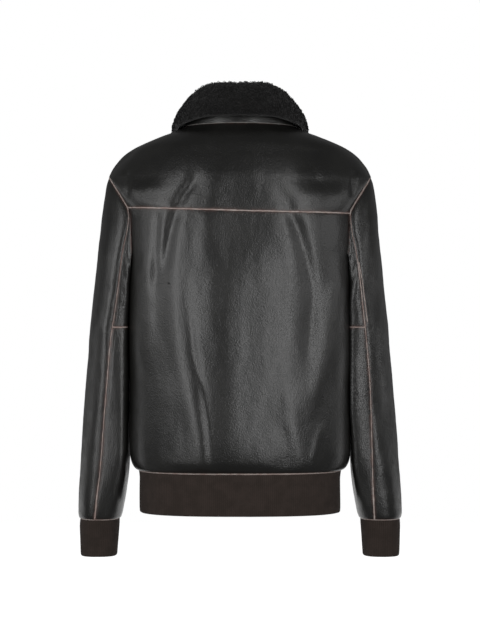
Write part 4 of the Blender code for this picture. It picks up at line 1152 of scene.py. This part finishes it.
# rib knit at the hem and the cuffs
ribForm = {
    # height, half width, depth behind, depth before
    "hem": [(-577.2, 171.3, 106.8, 114.8), (-582, 170.6, 106.4, 114.4),
            (-589, 170, 106, 114), (-639, 170, 106, 114),
            (-644.4, 169.7, 105.7, 113.7), (-646.2, 169.2, 105.2, 113.2),
            (-646.9, 168.5, 104.5, 112.5)],
    "hemSquare": 2.6,
    "hemLength": 905.0,
    # as the sleeves' rings
    "cuff": [(273.2, -662.4, 206.2, -662.4, 37.8, 37.8, -25, 2.3),
             (273.8, -674.2, 206.8, -674.2, 37, 37, -25, 2.4),
             (273, -717, 210, -717, 35.5, 35.5, -25.5, 2.4),
             (272.6, -722.4, 210.4, -722.4, 35.1, 35.1, -25.5, 2.4),
             (272, -724.2, 211, -724.2, 34.5, 34.5, -25.5, 2.4),
             (271.3, -724.9, 211.7, -724.9, 33.8, 33.8, -25.5, 2.4)],
    "cuffLength": 226.0,
    "pitch": 3.2,
    "rowStep": 3.4,
    "stitch": 2.2,
    "samples": 4,               # columns a rib
    "swell": 0.5,
    "swellLevel": 0.6,          # the part of the swell that lies at the solid's face
    "ends": (0.3, 0.5),         # what is left of the swell at the seam and at the free edge
    "sway": 0.7,
    "swaySize": 26.0,
    "swayStretch": (1.0, 1.0, 0.3),
    "swayFrom": 14.0,           # the sway grows over this length below the seam
    "wall": 2.4,
    "edgeWall": 1.4,
}


def hemLoop(height, width, behind, before):
    # round the hem from one front edge to the other
    turn = np.radians(np.linspace(0.0, 360.0, 2881))
    power = 2 / ribForm["hemSquare"]
    depth = np.where(np.cos(turn) > 0, before, behind)
    points = np.stack([width * signedPower(np.sin(turn), power),
                       -depth * signedPower(np.cos(turn), power),
                       np.full_like(turn, height)], axis=1)
    lengths = lengthsAlong(points)
    ends = np.array([bodyForm["frontEdge"], lengths[-1] - bodyForm["frontEdge"]])
    kept = (lengths > ends[0]) & (lengths < ends[1])
    first, last = sampled(points, lengths, ends)
    return np.concatenate([[first], points[kept], [last]])


def ribGrid(loops, ribs, wrap):
    # evenly spaced columns, with close rows between the given loops
    even = np.array([evenly(loop, ribs * ribForm["samples"]) for loop in loops])
    if wrap:
        even = even[:, :-1]
    index = fineIndices(np.abs(np.diff(even[:, 0, 2])), ribForm["rowStep"])
    known = np.arange(len(even))
    return np.stack([sampled(column, known, index) for column in even.swapaxes(0, 1)], axis=1)


def outwardFlat(grid, wrap):
    # level outward directions of a tube's rows
    if wrap:
        ahead = np.roll(grid, -1, axis=1) - np.roll(grid, 1, axis=1)
    else:
        ahead = np.gradient(grid, axis=1)
    return unit(np.stack([ahead[..., 1], -ahead[..., 0], np.zeros(grid.shape[:2])], axis=-1))


def makeKnit():
    b = board("brownRibKnit")
    stitch = b.waves(ribForm["stitch"] * mm)
    fuzz = b.cloud(1500.0, 4.0, 0.7)
    dark, light = (0.0292, 0.0218, 0.0182), (0.0375, 0.0277, 0.0236)
    shade = b.mix(b.cloud(60.0, 3.0).between(0.3, 0.7), dark, light)
    # the grooves between the ribs are darkened by their depth: painted shade
    shade = b.mix(b.mark() * 0.45, shade, (0.0160, 0.0118, 0.0101))
    return b.finish(Base_Color=shade, Roughness=0.92, Specular_IOR_Level=0.12, Sheen_Weight=0.08,
                    Normal=b.bump(stitch * 0.4 + fuzz * 0.6, 0.00025))


def ribTube(name, node, loops, length, wrap, seed):
    form = ribForm
    grid = ribGrid(loops, round(length / form["pitch"]), wrap)
    out = outwardFlat(grid, wrap)
    phase = np.arange(grid.shape[1]) / form["samples"] * math.pi
    swell = np.sqrt(np.abs(np.sin(phase)))[None, :]
    fade = np.ones((grid.shape[0], 1))
    fade[0], fade[-1] = form["ends"]
    sway = form["sway"] * ripple(grid * np.array(form["swayStretch"]), form["swaySize"], seed)
    top = np.minimum((grid[0, 0, 2] - grid[:, 0, 2]) / form["swayFrom"], 1.0)[:, None]
    rise = (swell - form["swellLevel"]) * form["swell"] * fade + sway * top
    inside = grid - out * form["wall"]
    inside[-1] = grid[-1] - out[-1] * form["edgeWall"]
    # how deep each point lies between two ribs, read by the knit's colour as painted shade in the
    # grooves
    grooveShade = np.repeat(1 - swell, grid.shape[0], axis=0)
    data = shellMesh(name, grid + out * rise[..., None], inside, [knit], wrap, grooveShade)
    newPiece(data, "garment", [node])


knit = makeKnit()
hemLoops = [hemLoop(*ring) for ring in ribForm["hem"]]
ribTube("hemRibShell", "hem_rib", hemLoops, ribForm["hemLength"], False, 41.0)
for side, word in bothSides:
    loops = [ringPoints(ring, np.linspace(0.0, 360.0, 1441)) for ring in ribForm["cuff"]]
    if side < 0:
        loops = [loop[::-1] * mirror for loop in loops]
    ribTube(word + "CuffShell", "cuff_" + word, loops, ribForm["cuffLength"], True, 45.0 + side)
print("rib knit done")

# the zip: tapes, teeth, slider, pull tab and box
zipForm = {
    "top": -82.0,
    "hemLine": [(-114.0, -589.0), (-114.0, -639.0), (-113.4, -647.0)],
    # half of the tape's cross-section: across, out of the leather's face
    "tape": [(0.25, -0.9), (6.4, -0.9), (8.6, -2.25), (14.0, -2.3),
             (14.0, -3.0), (8.4, -3.0), (6.2, -1.7), (0.25, -1.7)],
    # a tooth's outline: across, along the zip
    "tooth": [(2.9, -0.5), (2.9, 0.5), (0.7, 0.56), (-0.5, 0.42), (-0.95, 0.0),
              (-0.5, -0.42), (0.7, -0.56)],
    "toothFaces": (-1.0, 0.9),
    "pitch": 2.6,
    "weave": 1.1,
    # half of the slider's shield: across, up
    "shield": [(3.3, -11.5), (4.4, -6.325), (4.4, -1.6), (3.0, 0.0)],
    "shieldFaces": [(1.2, 2.4), (-3.5, -2.3)],
    "core": (1.9, -2.6, -0.05),     # half width, foot and top of what joins the two shields
    "coreFaces": (-2.8, 1.7),
    "pivot": (3.75, -5.0),      # out of the leather and up the zip, from the slider's top
    "pivotHole": 1.15,
    "bridge": 1.1,              # how thick the slider's bridge is
    "bridgeHalf": 1.4,
    "bridgeFoot": 2.1,
    "pullLength": 30.0,
    "pullHalf": 3.5,
    "pullFace": 0.7,            # half of the tab's thickness
    "pullHole": 1.5,
    "pullWire": 0.8,            # half of the thickness of the bar and the arms
    "pullArm": 2.0,             # from the middle to an arm's near side
    "pullReach": 6.0,           # how far the arms reach down
    "boxFloor": -647.35,
    "boxFace": -115.15,
    "boxRear": -111.5,
    "boxHalf": 5.5,
    "boxHeight": 8.0,
    "boxWall": 1.4,
}


def frontLine(depth):
    # the centre front below the slider, moved out of the leather by depth
    points = np.array([(-row[3], row[0] - row[5]) for row in rows] + zipForm["hemLine"])
    ahead = unit(np.gradient(points, axis=0))
    moved = points + np.stack([ahead[:, 1], -ahead[:, 0]], axis=1) * depth
    line = np.concatenate([np.zeros((len(moved), 1)), moved], axis=1)
    return line[points[:, 1] < zipForm["top"] - 4.0]


def zipPlace():
    # where the slider sits, and the ways across, out of the leather and up the zip
    high, low = [np.array([0.0, -ring[3], ring[0] - ring[5]]) for ring in bodyForm["shoulder"][:2]]
    up = unit(high - low)
    place = low + (high - low) * (zipForm["top"] - low[2]) / (high[2] - low[2])
    return np.stack([[1.0, 0.0, 0.0], [0.0, -up[2], up[1]], up]), place


def makeMetal():
    b = board("brushedNickel")
    stretched = b.vectorMaths("MULTIPLY", b.place, (400.0, 400.0, 5200.0))
    streak = b.cloud(1.0, vector=stretched)
    worn = b.cloud(300.0, 3.0).between(0.35, 0.7)
    colour = b.mix(worn, (0.30, 0.28, 0.255), (0.44, 0.42, 0.39))
    return b.finish(Base_Color=colour, Metallic=1.0, Roughness=streak * 0.2 + 0.24,
                    Normal=b.bump(streak, 0.00003))


def makeTape():
    b = board("blackZipTape")
    weave = b.waves(zipForm["weave"] * mm) + b.cloud(1800.0)
    shade = b.mix(b.cloud(90.0), (0.008, 0.008, 0.008), (0.014, 0.013, 0.013))
    return b.finish(Base_Color=shade, Roughness=0.85, Specular_IOR_Level=0.2,
                    Normal=b.bump(weave, 0.0001))


metal, tape = makeMetal(), makeTape()


def buildTapes():
    for side, word in bothSides:
        lines = []
        for across, depth in zipForm["tape"][::side]:
            line = frontLine(depth)
            line[:, 0] = side * across
            lines.append(line)
        rings = np.stack(lines, axis=1)
        faces = tubeFaces(*rings.shape[:2], 0)
        data = meshOf(word + "ZipTape", rings.reshape(-1, 3), faces, [tape])
        newPiece(data, "garment", ["zip_tape_" + word])


def buildTeeth():
    line = frontLine(0.0)
    spots = evenly(line, int(lengthsAlong(line)[-1] / zipForm["pitch"] * 2))[5:-3]
    outline = zipForm["tooth"]
    points, faces = [], []
    for n, (spot, down) in enumerate(zip(spots, unit(np.gradient(spots, axis=0)))):
        side = 1 if n % 2 else -1
        out = np.array([0.0, down[2], -down[1]])
        faces += tubeFaces(2, len(outline), len(points))
        for depth in zipForm["toothFaces"]:
            points += [spot + np.array([side * x, 0.0, 0.0]) + down * s + out * depth
                       for x, s in outline]
    data = meshOf("zipTeeth", points, faces, [metal], None, 30)
    newPiece(data, "garment")


def prism(mesh, outline, low, high):
    # an outline (across, up), as thick as from low to high
    rear = [mesh.verts.new((x, low, z)) for x, z in outline]
    face = [mesh.verts.new((x, high, z)) for x, z in outline]
    mesh.faces.new(rear)
    mesh.faces.new(face[::-1])
    for i in range(len(outline)):
        k = (i + 1) % len(outline)
        mesh.faces.new((rear[i], face[i], face[k], rear[k]))


def block(x, z0, z1):
    return [(-x, z0), (x, z0), (x, z1), (-x, z1)]


def zipPart(name, mesh, body, node, bevel, ways=np.eye(3), place=0.0):
    # bevel a part's edges and set it on the zip
    bmesh.ops.recalc_face_normals(mesh, faces=mesh.faces[:])
    bmesh.ops.bevel(mesh, geom=mesh.edges[:], offset=bevel, segments=2, profile=0.6,
                    affect="EDGES")
    for vertex in mesh.verts:
        vertex.co = Vector((np.array(vertex.co) @ ways + place) * mm)
    data = bpy.data.meshes.new(name)
    mesh.to_mesh(data)
    mesh.free()
    data.materials.append(metal)
    data.shade_smooth()
    data.set_sharp_from_angle(angle=math.radians(35))
    newPiece(data, body, [node])


def buildSlider():
    mesh = bmesh.new()
    half = zipForm["shield"]
    shield = [(-half[0][0], half[0][1])] + half + [(-x, z) for x, z in half[:0:-1]]
    for faces in zipForm["shieldFaces"]:
        prism(mesh, shield, *faces)
    prism(mesh, block(*zipForm["core"]), *zipForm["coreFaces"])
    out, up = zipForm["pivot"]
    hole, bridge = zipForm["pivotHole"], zipForm["bridge"]
    wide, foot, crown = zipForm["bridgeHalf"], zipForm["bridgeFoot"], out + hole + bridge
    prism(mesh, block(wide, up + hole, up + hole + bridge), foot, crown)
    prism(mesh, block(wide, up - hole - bridge, up - hole), foot, crown)
    prism(mesh, block(wide, up - hole - 0.3, up + hole + 0.3), crown - bridge, crown)
    zipPart("zipSlider", mesh, "garment", "zip_slider", 0.22, *zipPlace())


def buildPull():
    mesh = bmesh.new()
    out, up = zipForm["pivot"]
    bar, arm, reach = zipForm["pullWire"], zipForm["pullArm"], zipForm["pullReach"]
    half, face = zipForm["pullHalf"], zipForm["pullFace"]
    wide = arm + 2 * bar
    prism(mesh, block(wide, up - bar, up + bar), out - bar, out + bar)
    for left, right in ((arm, wide), (-wide, -arm)):
        outline = [(left, up - reach - 0.5), (right, up - reach - 0.5),
                   (right, up + bar), (left, up + bar)]
        prism(mesh, outline, out - bar, out + bar)
    turns = np.radians(np.arange(0, 360, 15))
    foot = up - zipForm["pullLength"] + half

    def circle(radius):
        return [(radius * math.cos(t), foot + radius * math.sin(t)) for t in turns]

    outer = [(x, z if z < foot + 0.01 else up - reach) for x, z in circle(half)]
    a, b, c, d = [[mesh.verts.new((x, out + offset, z)) for x, z in outline]
                  for outline in (outer, circle(zipForm["pullHole"]))
                  for offset in (-face, face)]
    for i in range(len(turns)):
        k = (i + 1) % len(turns)
        mesh.faces.new((a[i], a[k], b[k], b[i]))
        mesh.faces.new((c[k], c[i], d[i], d[k]))
        mesh.faces.new((b[i], b[k], d[k], d[i]))
        mesh.faces.new((a[k], a[i], c[i], c[k]))
    zipPart("zipPullTab", mesh, "pull_tab", "zip_pull", 0.15, *zipPlace())


def buildZipBox():
    mesh = bmesh.new()
    half, wall = zipForm["boxHalf"], zipForm["boxWall"]
    floor, face = zipForm["boxFloor"], zipForm["boxFace"]
    prism(mesh, block(half, floor - wall, floor + zipForm["boxHeight"]), face - wall, face)
    prism(mesh, block(half, floor - wall, floor), face - 0.3, zipForm["boxRear"])
    zipPart("zipBox", mesh, "garment", "zip_box", 0.25)


buildTapes()
buildTeeth()
buildSlider()
buildPull()
buildZipBox()
print("zip done")

# floor, lights and camera
studio = {
    "floorHeight": -1.75,
    "floorFrom": -10.0,
    "floorTo": -0.6,
    "floorHalfWidth": 60.0,
    "camera": (0.0, 3.2, -0.323),
    "frameHeight": 1.088,       # metres seen at the jacket's middle
    "sensor": 36.0,
    "softboxes": [
        # angle from the camera's side, distance, width, height, middle height, watts
        (34.0, 2.60, 0.80, 2.95, -0.175, 30.0),
        (-23.5, 2.60, 0.64, 2.95, -0.175, 30.0),
        (62.0, 2.60, 2.0, 0.70, 0.02, 9.0),
        (-62.0, 2.60, 2.0, 0.70, 0.02, 8.5),
    ],
    "fill": 0.13,
    "paper": (0.9, 0.9, 0.9),
    "white": (1.0, 1.0, 1.0),
}


def placed(name, data):
    thing = bpy.data.objects.new(name, data)
    bpy.context.scene.collection.objects.link(thing)
    return thing


def makeStudio():
    floor = placed("floor", bpy.data.meshes.new("floor"))
    half, height = studio["floorHalfWidth"], studio["floorHeight"]
    corners = [(-half, studio["floorFrom"], height), (half, studio["floorFrom"], height),
               (half, studio["floorTo"], height), (-half, studio["floorTo"], height)]
    floor.data.from_pydata(corners, [], [(0, 1, 2, 3)])
    pale = board("palePaper")
    floor.data.materials.append(pale.finish(Base_Color=studio["paper"], Roughness=0.9,
                                            Emission_Color=studio["white"],
                                            Emission_Strength=1.0))
    for k, (angle, distance, across, up, middle, power) in enumerate(studio["softboxes"]):
        lamp = bpy.data.lights.new("softbox%d" % k, "AREA")
        lamp.shape, lamp.size, lamp.size_y, lamp.energy = "RECTANGLE", across, up, power
        holder = placed("softbox%d" % k, lamp)
        turn = math.radians(angle)
        holder.location = (distance * math.sin(turn), distance * math.cos(turn), middle)
        holder.rotation_euler = (math.radians(-90), 0.0, -turn)
    camera = placed("camera", bpy.data.cameras.new("camera"))
    camera.data.sensor_width = studio["sensor"]
    camera.data.lens = studio["sensor"] * studio["camera"][1] / studio["frameHeight"]
    camera.location = studio["camera"]
    camera.rotation_euler = Vector((0.0, -1.0, 0.0)).to_track_quat("-Z", "Y").to_euler()
    bpy.context.scene.camera = camera
    bpy.context.scene.view_settings.view_transform = "Standard"


def makeWorld():
    # white behind the jacket, and a low fill on it
    world = bpy.data.worlds.new("studio")
    bpy.context.scene.world = world
    world.use_nodes = True
    nodes, links = world.node_tree.nodes, world.node_tree.links
    both = nodes.new("ShaderNodeMixShader")
    fill, white = nodes["Background"], nodes.new("ShaderNodeBackground")
    for k, (light, strength) in enumerate(((fill, studio["fill"]), (white, 1.0))):
        light.inputs["Color"].default_value = (*studio["white"], 1.0)
        light.inputs["Strength"].default_value = strength
        links.new(light.outputs[0], both.inputs[k + 1])
    links.new(nodes.new("ShaderNodeLightPath").outputs["Is Camera Ray"], both.inputs[0])
    links.new(both.outputs[0], nodes["World Output"].inputs["Surface"])


makeStudio()
makeWorld()
print("studio ready")
